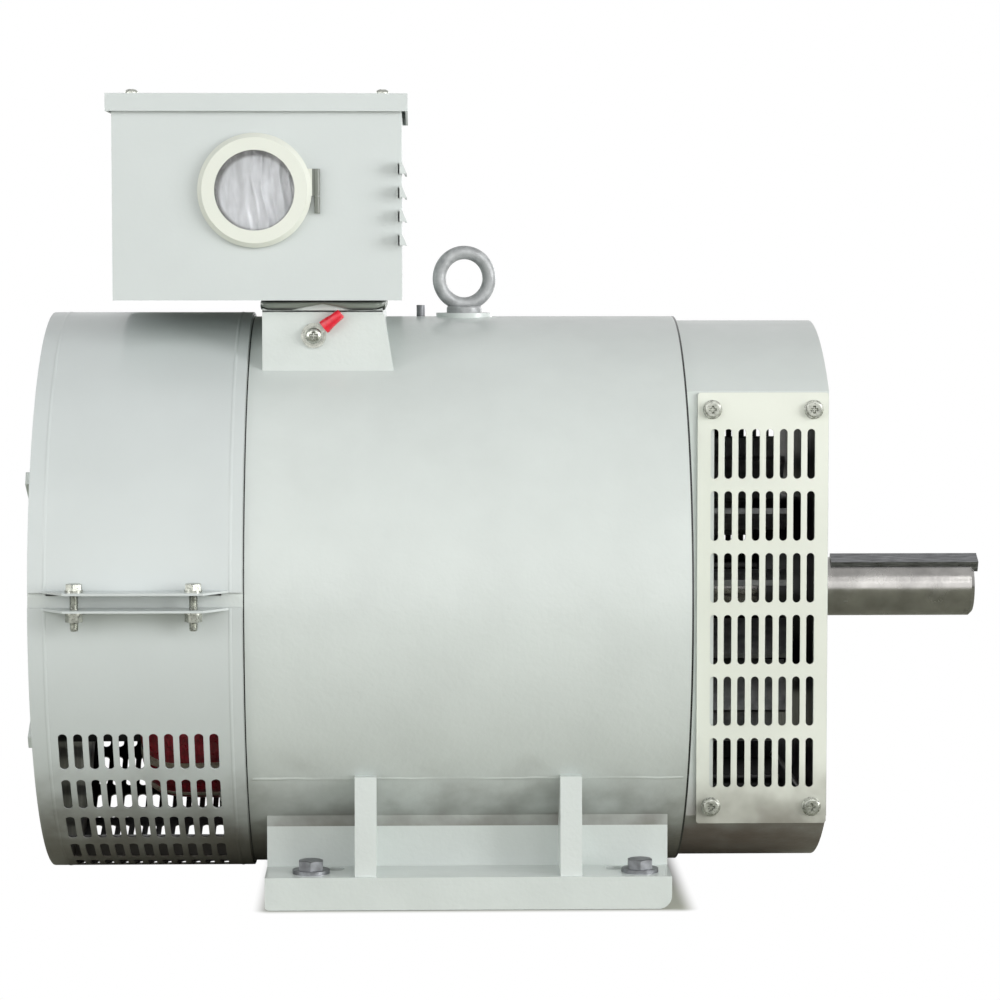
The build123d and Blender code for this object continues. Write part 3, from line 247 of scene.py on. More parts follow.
def cross_recess(radius, turn, arm, half_width, depth):
    """Depth of a cross recess at polar points: full near either arm's middle line, and rising to
    nothing over its edge and end."""
    x, y = radius * np.cos(turn), radius * np.sin(turn)
    near = np.minimum(np.abs(x), np.abs(y))
    far = np.maximum(np.abs(x), np.abs(y))
    side = np.clip((half_width - near) / 0.25 + 0.5, 0, 1)
    end = np.clip((arm - far) / 0.7, 0, 1)
    return depth * side * end


def fastener(place, direction, size, length, kind="hex", recess=True, thread_from=0.0, flange=None):
    """A screw as one surface turned about its line: each row has a height and a radius, which for
    a hexagon head is the smaller of the hexagon's and the chamfer's, for a pan head follows a
    quarter oval, and for the thread is the core plus a triangle wave of height and angle."""
    shank, across, height = size
    pitch, ridge = sizes().thread_pitch / MM, sizes().thread_depth / MM
    columns = 36
    turn = np.linspace(0, 2 * pi, columns, endpoint=False)
    edge = across / 2
    rows = []
    for share in np.concatenate([np.linspace(0, 0.55, 9), [0.7, 0.85, 0.95]]):
        top = height if kind == "hex" else height * np.sqrt(1 - 0.85 * share**2.6)
        if recess:
            top = top - cross_recess(share * edge, turn, 0.52 * edge, 0.11 * edge + 0.15, 0.45 * height)
        rows.append((share * edge, top))
    if kind == "hex":
        flat = hexagon(turn, across)
        rows += [(flat, height - (flat - edge * 0.98) * 0.58), (flat, flange[1] if flange else 0.0)]
        if flange:
            rows += [(out * flange[0], up * flange[1]) for out, up in ((0.92, 1.0), (1.0, 0.6), (1.0, 0.0))]
    else:
        rows += [(edge, height * 0.3), (edge, 0.0)]
    rows.append((shank * 0.9, 0.0))
    if thread_from < length:
        rows.append((shank * 0.97, -thread_from))
        steps = int((length - thread_from) / pitch * 6) + 1
        for low in np.linspace(thread_from, length - 0.6, steps):
            wave = np.abs(((low / pitch + turn / (2 * pi)) % 1) * 2 - 1)
            fade = min(1.0, (length - low) / 1.2)
            rows.append(((shank - ridge + ridge * wave) * (0.86 + 0.14 * fade), -low))
    rows += [(shank * 0.72, -length), (0.0, -length)]
    radius, heights = (np.array([np.broadcast_to(row[k], columns) for row in rows]) for k in (0, 1))
    grid = np.stack([radius * np.cos(turn), radius * np.sin(turn), heights], axis=2)
    grid = upright_turn(grid, direction) + np.asarray(place, float)
    return grid, cells(len(radius), columns)


# ---------------------------------------------------------------- materials

# Limits of the painted shade on the inner walls and in the joints, in millimetres: FAR lies beyond the whole part
FAR = 900
BARREL = 199.5
# near-black painted shade for the inner walls and the joints
PAINTED_SHADE = "#0d0c0c"
RIM_SHADE = "#2b2d2b"
TURNED_RINGS = (1 / 0.03, 1, 1)


def add(tree, kind, inputs=None, **settings):
    """Add a node, set its options, and fill its sockets with values or links."""
    node = tree.nodes.new(kind)
    for name, value in settings.items():
        setattr(node, name, value)
    for name, value in (inputs or {}).items():
        if isinstance(value, bpy.types.NodeSocket):
            tree.links.new(value, node.inputs[name])
        else:
            node.inputs[name].default_value = value
    return node


def maths(tree, operation, *values):
    """A number worked out from others."""
    return add(tree, "ShaderNodeMath", dict(enumerate(values)), operation=operation).outputs[0]


def vectors(tree, operation, *values):
    """A vector worked out from others, or the length of one."""
    made = add(tree, "ShaderNodeVectorMath", dict(enumerate(values)), operation=operation)
    return made.outputs["Value" if operation == "LENGTH" else 0]


def ranged(tree, value, start, end, low, high, shape="LINEAR"):
    """A value that runs from low to high while another runs from start to end."""
    inputs = {"Value": value, "From Min": start, "From Max": end, "To Min": low, "To Max": high}
    return add(tree, "ShaderNodeMapRange", inputs, interpolation_type=shape).outputs[0]


def start_finish(name, **shader_values):
    """A new material: its tree, its shader with constant sockets set, and Object coordinates."""
    material = bpy.data.materials.new(name)
    material.use_nodes = True
    tree = material.node_tree
    tree.nodes.clear()
    shader = add(tree, "ShaderNodeBsdfPrincipled", shader_values)
    add(tree, "ShaderNodeOutputMaterial", {"Surface": shader.outputs[0]})
    place = add(tree, "ShaderNodeTexCoord").outputs["Object"]
    return material, tree, shader, place


def mottle(tree, place, millimetres, low=0, high=1, detail=3.0, stretch=(1, 1, 1)):
    """Cloudy variation with spots of a size in millimetres, spread between two values."""
    spread = add(tree, "ShaderNodeMapping", {"Vector": place, "Scale": stretch}).outputs[0]
    inputs = {"Vector": spread, "Scale": 1 / (millimetres * MM), "Detail": detail}
    noise = add(tree, "ShaderNodeTexNoise", inputs).outputs["Fac"]
    return ranged(tree, noise, 0.3, 0.7, low, high)


def tinted(tree, share, first, second):
    """Mix by a share of two colours, each linear values or a socket."""
    pair = [one if isinstance(one, bpy.types.NodeSocket) else (*one, 1) for one in (first, second)]
    return add(tree, "ShaderNodeMix", {0: share, 6: pair[0], 7: pair[1]}, data_type="RGBA").outputs[2]


def wear(tree, shader, place, colour, rough, bumps):
    """Give the shader its colour, unless that is constant, a mottled roughness, and bumps laid
    over each other: pairs of a height socket and its depth in millimetres."""
    if colour is not None:
        tree.links.new(colour, shader.inputs["Base Color"])
    tree.links.new(mottle(tree, place, *rough), shader.inputs["Roughness"])
    normal = None
    for height, depth in bumps:
        inputs = {"Height": height, "Distance": depth * MM, "Strength": 1.0}
        if normal is not None:
            inputs["Normal"] = normal
        normal = add(tree, "ShaderNodeBump", inputs).outputs[0]
    tree.links.new(normal, shader.inputs["Normal"])


def scaled(colour, factor):
    """A linear colour made darker or lighter."""
    return tuple(min(1.0, c * factor) for c in colour)


def grained(name, first, second, clouds, rough, bump, depth, **shader_values):
    """A finish whose colour drifts between two others in clouds.  Clouds, roughness and bump are
    what mottle takes after the place, and without a bump the clouds themselves stand proud."""
    made, tree, shader, place = start_finish(name, **shader_values)
    share = mottle(tree, place, *clouds)
    height = mottle(tree, place, *bump) if bump else share
    wear(tree, shader, place, tinted(tree, share, first, second), rough, [(height, depth)])
    return made


def grimed_and_shaded(tree, place, paint, walls, shade=PAINTED_SHADE, underside_brown=None):
    """Paint with brown dirt and painted shade gathered under the barrel, and a colour laid in boxes,
    which on the inner walls and in the joints is painted shade.  Each of these lies between two
    stations, within a radius of the shaft and within a half width, in millimetres."""
    parts = add(tree, "ShaderNodeSeparateXYZ", {0: place}).outputs
    across = add(tree, "ShaderNodeCombineXYZ", {"Y": parts["Y"], "Z": parts["Z"], "X": 0.0}).outputs[0]
    out = vectors(tree, "LENGTH", vectors(tree, "SUBTRACT", across, (0, 0, SHAFT_Z * MM)))
    side = maths(tree, "ABSOLUTE", parts["Y"])
    # painted shade with brown dirt: the paint turns darker and browner towards the bottom of the barrel
    ragged = maths(tree, "ADD", parts["Z"], mottle(tree, place, 30, -0.012, 0.012))
    low = ranged(tree, ragged, 0.012, 0.112, 0.9, 0.0, "SMOOTHERSTEP")
    grime_and_shade = maths(tree, "MULTIPLY", low, maths(tree, "LESS_THAN", out, BARREL * MM))
    # a casting may give its own colour in place of the brown towards the bottom of the barrel
    paint = tinted(tree, grime_and_shade, paint, linear(underside_brown) if underside_brown else colours().grime_and_shade)
    # painted shade in the boxes: a dark colour on the inner walls and in the joints
    for start, end, radius, half_width in walls:
        within = 1.0
        for value, limit, operation in (
            (out, radius, "LESS_THAN"),
            (side, half_width, "LESS_THAN"),
            (parts["X"], start, "GREATER_THAN"),
            (parts["X"], end, "LESS_THAN"),
        ):
            within = maths(tree, "MULTIPLY", within, maths(tree, operation, value, limit * MM))
        paint = tinted(tree, within, paint, linear(shade))
    return paint


def enamel_on_casting(walls=(), underside_brown=None):
    """Alkyd enamel sprayed on sand-cast iron: a gloss skin over soft, uneven casting lumps."""
    base = colours().enamel
    made, tree, shader, place = start_finish(
        "Alkyd enamel on cast iron", **{"IOR": 1.5, "Coat Weight": 0.35, "Coat Roughness": 0.16}
    )
    paint = tinted(tree, mottle(tree, place, 55), scaled(base, 0.955), scaled(base, 1.02))
    # sand grit of 2.6 mm under the paint, over hollows of 14 mm
    bumps = [(mottle(tree, place, 14), 0.16), (mottle(tree, place, 2.6, 0, 1, 2.0), 0.045)]
    # the paint carries painted shade under the barrel, on the inner walls and in the joints
    wear(tree, shader, place, grimed_and_shaded(tree, place, paint, walls, underside_brown=underside_brown), (20, 0.3, 0.42), bumps)
    return made


def enamel_on_sheet(walls=(), shade=PAINTED_SHADE, base=None):
    """Alkyd enamel on folded sheet steel: flatter than the castings, with a faint orange peel."""
    base = base or colours().sheet_enamel
    made, tree, shader, place = start_finish(
        "Alkyd enamel on sheet steel", **{"IOR": 1.5, "Coat Weight": 0.3, "Coat Roughness": 0.12}
    )
    paint = tinted(tree, mottle(tree, place, 80), scaled(base, 0.965), scaled(base, 1.015))
    # orange peel has waves of about 3 mm
    bumps = [(mottle(tree, place, 3.2, 0, 1, 1.0), 0.02)]
    # the paint carries painted shade under the barrel and on the inner walls
    wear(tree, shader, place, grimed_and_shaded(tree, place, paint, walls, shade), (30, 0.3, 0.4), bumps)
    return made


def plated(name, base, rough_low, rough_high, blotch):
    """Electroplated steel: small crystals scatter the light, with stains between bright spots."""
    rough = (blotch / 2, rough_low, rough_high)
    stained, bright = scaled(base, 0.6), scaled(base, 1.15)
    return grained(name, stained, bright, (blotch, 0, 1, 4.0), rough, (0.8,), 0.02, Metallic=0.85)


def primed_forging():
    """Grey primer on a drop forging: matt, with the scale's grit showing through."""
    dark, light = (scaled(colours().forging, factor) for factor in (0.72, 1.12))
    name = "Grey primer on forged steel"
    return grained(name, dark, light, (6, 0, 1, 5.0), (4, 0.42, 0.58), (1.6,), 0.06, IOR=1.5, Metallic=0.25)


def turned_steel():
    """Turned medium-carbon steel: fine tool rings round the shaft and a thin film of oil."""
    dark, light = (scaled(colours().steel, factor) for factor in (0.72, 1.1))
    # tool rings 0.35 mm apart are drawn 1.2 mm apart so that they show
    rings = (40, 0, 1, 2.0, TURNED_RINGS)
    surface = {"Metallic": 1.0, "Anisotropic": 0.35}
    return grained("Turned carbon steel", dark, light, (18, 0, 1, 4.0), (12, 0.16, 0.3), rings, 0.012, **surface)


def drawn_key_steel():
    """Cold-drawn key bar: lengthwise scratches and a dark skin."""
    dark, light = (scaled(colours().key, factor) for factor in (0.55, 1.5))
    scratches = (0.9, 0, 1, 3.0, (0.08, 1, 1))
    return grained("Cold-drawn key steel", dark, light, scratches, (5, 0.25, 0.45), None, 0.03, Metallic=1.0)


def bearing_steel():
    """Ground bearing steel: nearly mirror, with faint grinding rings."""
    dark, light = linear("#8d8f92"), linear("#b7b9bb")
    ground = (30, 0, 1, 2.0, TURNED_RINGS)
    return grained("Ground bearing steel", dark, light, ground, (9, 0.14, 0.24), None, 0.004, Metallic=1.0)


def cast_aluminium():
    """Sand-cast aluminium fan: grey, dull and grainy."""
    dark, light = linear("#77797a"), linear("#a2a4a3")
    return grained("Sand-cast aluminium", dark, light, (10, 0, 1, 4.0), (4, 0.42, 0.6), (1.5,), 0.08, Metallic=0.9)


def brass():
    """Turned brass: warm, with rings from the tool and a brown bloom."""
    dark, light = linear("#8a6a34"), linear("#d8b56a")
    rings = (30, 0, 1, 2.0, (1 / 0.04, 1, 1))
    return grained("Turned brass", dark, light, (9, 0, 1, 4.0), (4, 0.2, 0.38), rings, 0.01, Metallic=1.0)


def laminate():
    """Paper-phenolic board: brown, with a woven grain and a dull gloss."""
    dark, light = linear("#5a3a1e"), linear("#7d5731")
    fibre = (3, 0, 1, 4.0, (0.3, 1, 1))
    return grained("Paper-phenolic laminate", dark, light, fibre, (5, 0.3, 0.45), None, 0.03, IOR=1.55)


def pvc_sleeve():
    """Soft red PVC sleeve: glossy with a faint ripple."""
    dark, light = (scaled(colours().sleeve, factor) for factor in (0.8, 1.1))
    surface = {"IOR": 1.53, "Coat Weight": 0.4}
    return grained("Soft PVC sleeve", dark, light, (3,), (2, 0.25, 0.4), (1.5,), 0.08, **surface)


def moulded(name, base, grain, rough_low, rough_high):
    """Moulded or pressed material: even colour with a fine grain."""
    rough = (grain * 4, rough_low, rough_high)
    return grained(name, scaled(base, 0.9), scaled(base, 1.06), (18,), rough, (grain, 0, 1, 2.0), 0.02, IOR=1.5)


def core_steel():
    """Stacked silicon-steel sheets under varnish: thin edges side by side along the shaft."""
    made, tree, shader, place = start_finish("Varnished silicon-steel laminations", Metallic=0.5)
    # sheets of 0.5 mm are drawn 1.5 mm apart so that their edges show
    inputs = {"Vector": place, "Scale": 1 / (1.5 * MM) / 20, "Distortion": 0.4}
    bands = add(tree, "ShaderNodeTexWave", inputs, wave_type="BANDS", bands_direction="X").outputs["Fac"]
    edges = tinted(tree, bands, linear("#26211f"), linear("#4d4642"))
    wear(tree, shader, place, edges, (8, 0.35, 0.55), [(bands, 0.15)])
    return made


def varnished_winding():
    """Enamelled copper wire dipped in crimson varnish: glossy strands with dark, pooled gaps."""
    base = colours().copper_varnish
    made, tree, shader, place = start_finish(
        "Crimson insulating varnish on copper wire", **{"IOR": 1.54, "Coat Weight": 0.6, "Coat Roughness": 0.1}
    )
    strands = mottle(tree, place, 2.2, 0, 1, 2.0, (1, 0.35, 0.35))
    pooled = tinted(tree, mottle(tree, place, 14), scaled(base, 0.55), scaled(base, 1.35))
    wear(tree, shader, place, tinted(tree, strands, scaled(base, 0.5), pooled), (5, 0.25, 0.45), [(strands, 0.35)])
    return made


def dusty_nylon():
    """White moulded nylon that carbon dust has blackened from below."""
    made, tree, shader, place = start_finish("Moulded nylon under carbon dust", IOR=1.53)
    height = add(tree, "ShaderNodeSeparateXYZ", {0: place}).outputs["Z"]
    ragged = maths(tree, "ADD", mottle(tree, place, 9, -0.006, 0.006), height)
    dust = ranged(tree, ragged, 0.108, 0.118, 1.0, 0.0)
    nylon = tinted(tree, dust, colours().nylon, linear("#262524"))
    wear(tree, shader, place, nylon, (4, 0.35, 0.55), [(mottle(tree, place, 1.0, 0, 1, 2.0), 0.02)])
    return made


def rubber():
    """Black neoprene: soft sheen, with a bloom of dust, and a painted highlight along the middle of its bulge."""
    base = colours().rubber
    made, tree, shader, place = start_finish(
        "Neoprene rubber", **{"IOR": 1.52, "Coat Weight": 0.25, "Coat Roughness": 0.2}
    )
    bloom = tinted(tree, mottle(tree, place, 12, 0, 1, 4.0), base, scaled(base, 2.2))
    # painted highlight along the middle of the squeezed edge, where the bulge would catch the light
    height = add(tree, "ShaderNodeSeparateXYZ", {0: place}).outputs["Z"]
    away = maths(tree, "ABSOLUTE", maths(tree, "SUBTRACT", height, node_middle("box_gasket")[2] * MM))
    painted_sheen = ranged(tree, away, 0.0012, 0.0024, 0.85, 0.0)
    bumps = [(mottle(tree, place, 1.2), 0.03)]
    wear(tree, shader, place, tinted(tree, painted_sheen, bloom, linear("#8d948b")), (6, 0.3, 0.5), bumps)
    return made


def window_glass():
    """Float glass disc: clear, with a breath of dust that only changes its gloss."""
    clear = {"IOR": 1.45, "Transmission Weight": 1.0, "Base Color": (1, 1, 1, 1)}
    made, tree, shader, place = start_finish("Float glass", **clear)
    wear(tree, shader, place, None, (12, 0.0, 0.05), [(mottle(tree, place, 25, 0, 1, 1.0), 0.01)])
    return made


def crumpled_film():
    """Polythene film: milky, half clear, with sharp folds whose highlights and shade are painted into its colour.
    """
    base = colours().film
    made, tree, shader, place = start_finish(
        "Polythene film", **{"IOR": 1.5, "Coat Weight": 0.6, "Coat Roughness": 0.08}
    )
    folds = mottle(tree, place, 5, 0, 1, 3.0, (1, 1, 0.22))
    # painted highlights and shade on the folds, by the same pattern that bumps them
    fold_light_and_shade = tinted(tree, folds, scaled(base, 0.86), scaled(base, 1.12))
    # the ring shades the film's rim, most at its upper left
    middle = (node_middle("protective_film") + (0.6, 0, -1.6)) * MM
    flat = vectors(tree, "MULTIPLY", vectors(tree, "SUBTRACT", place, tuple(middle)), (1, 0, 1))
    rim = ranged(tree, vectors(tree, "LENGTH", flat), 0.0238, 0.026, 0.0, 0.92)
    wear(tree, shader, place, tinted(tree, rim, fold_light_and_shade, linear(RIM_SHADE)), (7, 0.15, 0.35), [(folds, 0.5)])
    tree.links.new(mottle(tree, place, 6, 0.72, 0.95, 3.0, (1, 1, 0.3)), shader.inputs["Alpha"])
    return made


def cotton_tape():
    """Woven cotton lacing tape, soaked in varnish in places."""
    made, tree, shader, place = start_finish("Varnished cotton tape", IOR=1.5)
    weave = mottle(tree, place, 1.1, 0, 1, 1.0)
    soaked = tinted(tree, mottle(tree, place, 10), linear("#dccfc0"), linear("#f6f3ec"))
    wear(tree, shader, place, tinted(tree, weave, linear("#cabdac"), soaked), (6, 0.5, 0.8), [(weave, 0.1)])
    return made


def frame_casting():
    """The frame's enamel, with painted shade on its inner walls and painted shadow in its joints with the cover
    and the drive shield.
    """
    cover_end, frame_end = node_box("brush_cover_upper")[1][0], node_box("stator_frame")[1][0]
    # painted shade on the inner walls, and painted shadow in the two joints
    inner_shade = (-FAR, FAR, 178.5, FAR)
    cover_joint_shadow = (cover_end - 1, cover_end + 1.4, BARREL, FAR)
    drive_joint_shadow = (frame_end - 1.4, frame_end - 0.1, BARREL, FAR)
    return enamel_on_casting((inner_shade, cover_joint_shadow, drive_joint_shadow))


def hinge_sheet():
    """The window ring's warmer enamel, greyed beyond the hinge's near side."""
    hinge = node_box("window_hinge_bracket")[0][0] - 1.5
    return enamel_on_sheet(((hinge, FAR, FAR, FAR),), "#6d726a", colours().grille_enamel)


FINISHES = {
    "casting": enamel_on_casting,
    "sheet": enamel_on_sheet,
    "frame casting": frame_casting,
    # the drive, rear, cover and grille finishes lay near-black painted shade on their inner walls, and the drive
    # shield turns a redder brown towards the bottom of its drum
    "drive casting": lambda: enamel_on_casting(((-FAR, 232.5, 183.5, 116.5),), "#4b2c1a"),
    "rear casting": lambda: enamel_on_casting(((node_box("rear_end_shield")[0][0] + 9.5, FAR, 181.5, FAR),)),
    "cover sheet": lambda: enamel_on_sheet(((-FAR, FAR, 195.9, FAR),)),
    "grille sheet": lambda: enamel_on_sheet(((-FAR, FAR, FAR, 124.5),), base=colours().grille_enamel),
    "hinge sheet": hinge_sheet,
    # Bright zinc on screws, washers and nuts
    "zinc": lambda: plated("Bright zinc plating", colours().zinc, 0.22, 0.38, 3),
    # Weathered zinc, greyer and rougher
    "dull": lambda: plated("Weathered zinc plating", colours().dull_zinc, 0.42, 0.6, 5),
    "forging": primed_forging,
    "shaft": turned_steel,
    "key": drawn_key_steel,
    "bearing": bearing_steel,
    "core": core_steel,
    "winding": varnished_winding,
    "aluminium": cast_aluminium,
    # Black phenolic mouldings
    "black": lambda: moulded("Phenolic moulding", linear("#1b1c1d"), 0.8, 0.35, 0.5),
    "brass": brass,
    "nylon": dusty_nylon,
    # Pressed electrographite: sooty grey with a faint sheen where it slides
    "carbon": lambda: moulded("Electrographite", linear("#2c2c2e"), 0.5, 0.5, 0.7),
    # Oil-tempered spring wire
    "spring": lambda: plated("Oil-tempered spring wire", linear("#6f7274"), 0.25, 0.4, 2),
    "rubber": rubber,
    "glass": window_glass,
    # Printed aluminium dial: matt white lacquer
    "dial": lambda: moulded("White dial lacquer", colours().dial, 0.6, 0.45, 0.55),
    # Black lacquer on the meter's needle
    "needle": lambda: moulded("Black needle lacquer", linear("#141414"), 0.5, 0.4, 0.5),
    "film": crumpled_film,
    "laminate": laminate,
    "sleeve": pvc_sleeve,
    "tape": cotton_tape,
}
MADE = {}


def finish(key):
    """The material of a finish, made once."""
    if key not in MADE:
        MADE[key] = FINISHES[key]()
    return MADE[key]


# ---------------------------------------------------------------- operators


class AlternatorOperator:
    """Shared settings of the operators."""

    bl_options = {"REGISTER", "UNDO"}


class DressingOperator(AlternatorOperator):
    """Gives each finish to the nodes that its table names."""

    def execute(self, context):
        for key, nodes in self.finishes.items():
            for node in nodes.split():
                for place in PARTS[node].material_slots:
                    place.material = finish(key)
        return {"FINISHED"}


class ALTERNATOR_OT_castings(DressingOperator, bpy.types.Operator):
    """Enamel the frame, end shields, caps and sheet covers"""

    bl_idname = "alternator.castings"
    bl_label = "Castings and sheet"
    finishes = {
        "frame casting": "stator_frame",
        "drive casting": "drive_end_shield",
        "rear casting": "rear_end_shield",
        "casting": "drive_bearing_cap rear_bearing_cap",
        "cover sheet": "brush_cover_upper brush_cover_lower",
        "grille sheet": "drive_grille_front drive_grille_rear",
        "sheet": "terminal_box_body terminal_box_lid",
        "hinge sheet": "window_ring window_hinge_bracket",
        "forging": "eyebolt",
    }


class ALTERNATOR_OT_running_gear(DressingOperator, bpy.types.Operator):
    """Finish the shaft, rotor, fan, bearings, rings and brushes"""

    bl_idname = "alternator.running_gear"
    bl_label = "Running gear"
    finishes = {
        "shaft": "shaft",
        "key": "shaft_key",
        "bearing": "bearing_inner_rings bearing_outer_rings",
        "core": "rotor_core stator_core",
        "winding": "field_coils",
        "aluminium": "cooling_fan",
        "black": "slip_ring_hub",
        "brass": "slip_rings",
        "nylon": "brush_holder",
        "carbon": "brush_outer brush_inner",
    }


class ALTERNATOR_OT_terminal_box(DressingOperator, bpy.types.Operator):
    """Finish the meter, terminal board, rectifier, grommet and earth lug"""

    bl_idname = "alternator.terminal_box"
    bl_label = "Terminal box"
    finishes = {
        "black": "voltmeter_case rectifier_bridge",
        "dial": "voltmeter_dial",
        "needle": "voltmeter_needle",
        "glass": "window_glass",
        "rubber": "cable_grommet",
        "laminate": "terminal_board",
        "brass": "terminal_studs",
        "zinc": "terminal_nuts earth_washers earth_lug window_hinge_pin cover_clamp_washers cover_clamp_nuts",
        "dull": "foot_washers top_stud",
    }

    def execute(self, context):
        self.sleeve()
        return super().execute(context)

    def sleeve(self):
        """The lug's sleeve: a flared tube with an oval section that narrows along its length, with
        its wall turned in at the open end."""
        high = node_box("earth_lug")[1]
        screw = node_middle("earth_washers")
        aim = np.array([high[0] - screw[0], 0, high[2] - screw[2]])
        aim /= np.linalg.norm(aim)
        side = np.cross(aim, (0, 1, 0))
        turn = np.linspace(0, 2 * pi, 32, endpoint=False)
        rows = []
        for along, wide, deep in (
            (8.8, 4.0, 2.9), (8.6, 4.6, 3.4), (10.0, 4.7, 3.5), (14.0, 4.2, 3.5), (18.0, 3.7, 3.4),
            (23.4, 3.4, 3.3), (24.0, 3.1, 3.0), (23.6, 2.6, 2.5), (17.0, 2.4, 2.3), (16.5, 0.0, 0.0),
        ):
            ripple = 1 + 0.03 * np.sin(3 * turn + along)
            middle = np.array([screw[0], node_middle("earth_sleeve")[1], screw[2]]) + along * aim
            rows.append(
                middle
                + (wide * ripple * np.cos(turn))[:, None] * side
                + (deep * np.sin(turn))[:, None] * np.array([0, 1.0, 0])
            )
        grid = (np.array(rows), cells(len(rows), 32))
        lay("flared_sleeve", [grid], "sleeve", ("earth_sleeve",))


def screw_rows(node):
    """Middle and span of each separate screw of a group, found from the solid's loose pieces."""
    mesh = PARTS[node].data
    count = len(mesh.vertices)
    points = np.empty(count * 3)
    mesh.vertices.foreach_get("co", points)
    points = points.reshape(-1, 3) / MM
    edges = np.empty(len(mesh.edges) * 2, dtype=int)
    mesh.edges.foreach_get("vertices", edges)
    edges = edges.reshape(-1, 2)
    keys = np.unique(np.round(points * 100).astype(np.int64), axis=0, return_inverse=True)[1].ravel()
    edges = keys[edges]
    label = np.arange(keys.max() + 1)
    while True:
        lowest = np.minimum(label[edges[:, 0]], label[edges[:, 1]])
        before = label.copy()
        np.minimum.at(label, edges[:, 0], lowest)
        np.minimum.at(label, edges[:, 1], lowest)
        if np.array_equal(before, label):
            break
    groups = label[keys]
    return [(points[groups == g].min(axis=0), points[groups == g].max(axis=0)) for g in np.unique(groups)]


def dressed_screws(
    node, size, kind="hex", heads="+z", recess=False, thread_from=1.0, flange=None,
    key="zinc", body="frame",
):
    """Rebuild each screw of a group with its chamfers, recess and thread, on the solids' places."""
    axis = {"x": 0, "y": 1, "z": 2}[heads[1]]
    grids = []
    for low, high in screw_rows(node):
        middle = (low + high) / 2
        inward = heads[0] == "-" or (heads[0] == "o" and middle[axis] <= 0)
        outward = -1.0 if inward else 1.0
        direction = np.zeros(3)
        direction[axis] = outward
        top = high[axis] if outward > 0 else low[axis]
        place = middle.copy()
        place[axis] = top - outward * size[2]
        length = high[axis] - low[axis] - size[2]
        grids.append(fastener(place, direction, size, length, kind, recess, thread_from, flange))
    lay(node + "_dressed", grids, key, (node,), body)


class ALTERNATOR_OT_fasteners(AlternatorOperator, bpy.types.Operator):
    """Rebuild the screws with chamfered heads, recesses and threads"""

    bl_idname = "alternator.fasteners"
    bl_label = "Fasteners"

    def execute(self, context):
        m5, m6, m8, m10 = (2.5, 8.0, 3.5), (3.0, 10.0, 4.0), (4.0, 13.0, 5.3), (5.0, 16.0, 6.4)
        m5_pan, m6_pan = (2.5, 9.0, 3.2), (3.0, 11.0, 3.6)
        dressed_screws("grille_screws", m6, heads="oy", recess=True, flange=(6.5, 1.2))
        dressed_screws("drive_shield_screws", m6, heads="+x", thread_from=80)
        dressed_screws("rear_shield_screws", m8, heads="-x")
        dressed_screws("cover_clamp_screws", m6)
        dressed_screws("bearing_cap_screws", m5, heads="ox")
        dressed_screws("lid_screws", m5_pan, "pan", recess=True, body="box_lid")
        dressed_screws("box_screws", m6)
        dressed_screws("earth_screw", m6_pan, "pan", heads="-y", recess=True)
        dressed_screws("foot_screws", m10, thread_from=20, key="dull")
        return {"FINISHED"}


class ALTERNATOR_OT_stator_winding(AlternatorOperator, bpy.types.Operator):
    """Lay the end windings as roped bundles of varnished wire"""

    bl_idname = "alternator.stator_winding"
    bl_label = "Stator winding"
    slots = 36
    bore_radius = 115.0

    def execute(self, context):
        grids, tapes = [], []
        core_low, core_high = node_box("stator_core")
        low, high = node_box("stator_winding")
        depth = sizes().bundle / MM
        for near, far in ((core_low[0], low[0]), (core_high[0], high[0])):
            grids.append(self.end_turns(near, far, depth))
            tapes += self.tapes(near, far, 18)
        lay("end_windings", grids, "winding", ("stator_winding",), sharp=60)
        lay("winding_tapes", tapes, "tape")
        return {"FINISHED"}

    def end_turns(self, near, far, depth):
        """A ring with a rounded oblong section, pressed in along slanting lines: the section's
        radius loses a share of the groove depth by the sine of slot count times the angle round
        the shaft plus a slant that turns over between the inner and outer layer."""
        rows, columns = 432, 40
        angle = np.linspace(0, 2 * pi, rows, endpoint=False)[:, None]
        turn = np.linspace(0, 2 * pi, columns, endpoint=False)[None, :]
        slant = 1.9 * np.sin(turn)
        groove = 0.5 + 0.5 * np.cos(self.slots * angle + slant * pi)
        strands = 0.5 + 0.5 * np.cos(self.slots * 6 * angle + 6 * slant * pi)
        press = depth * groove**3 + 0.18 * depth * strands
        return self.ring(near, far, angle, turn, press), cells(rows, columns, round_rows=True)

    def ring(self, near, far, angle, turn, press):
        """Points of the oblong ring, drawn in from its full size by a pressed depth."""
        inner, outer = self.bore_radius, node_box("stator_winding")[1][2] - SHAFT_Z
        middle_r, half_r = (inner + outer) / 2, (outer - inner) / 2
        middle_x, half_x = (near + far) / 2, abs(far - near) / 2
        rounded = [np.sign(wave) * np.abs(wave) ** 0.62 for wave in (np.cos(turn), np.sin(turn))]
        radius = middle_r + (half_r - press) * rounded[0] + 0 * angle
        x = middle_x + (half_x - press) * rounded[1] + 0 * angle
        return np.stack([x, radius * np.cos(angle), SHAFT_Z + radius * np.sin(angle)], axis=2)

    def tapes(self, near, far, count):
        """Cotton tapes tied round the section: short stretches of the ring, 0.5 mm proud of it in
        their middle and sunk at both edges."""
        grids = []
        turn = np.linspace(0, 2 * pi, 40, endpoint=False)[None, :]
        for i in range(count):
            place = 2 * pi * (i + 0.5) / count
            angle = place + np.array([-0.028, -0.026, -0.012, 0.012, 0.026, 0.028])[:, None]
            sunk = np.array([2.0, -0.3, -0.5, -0.5, -0.3, 2.0])[:, None]
            grids.append((self.ring(near, far, angle, turn, sunk), cells(6, 40)))
        return grids


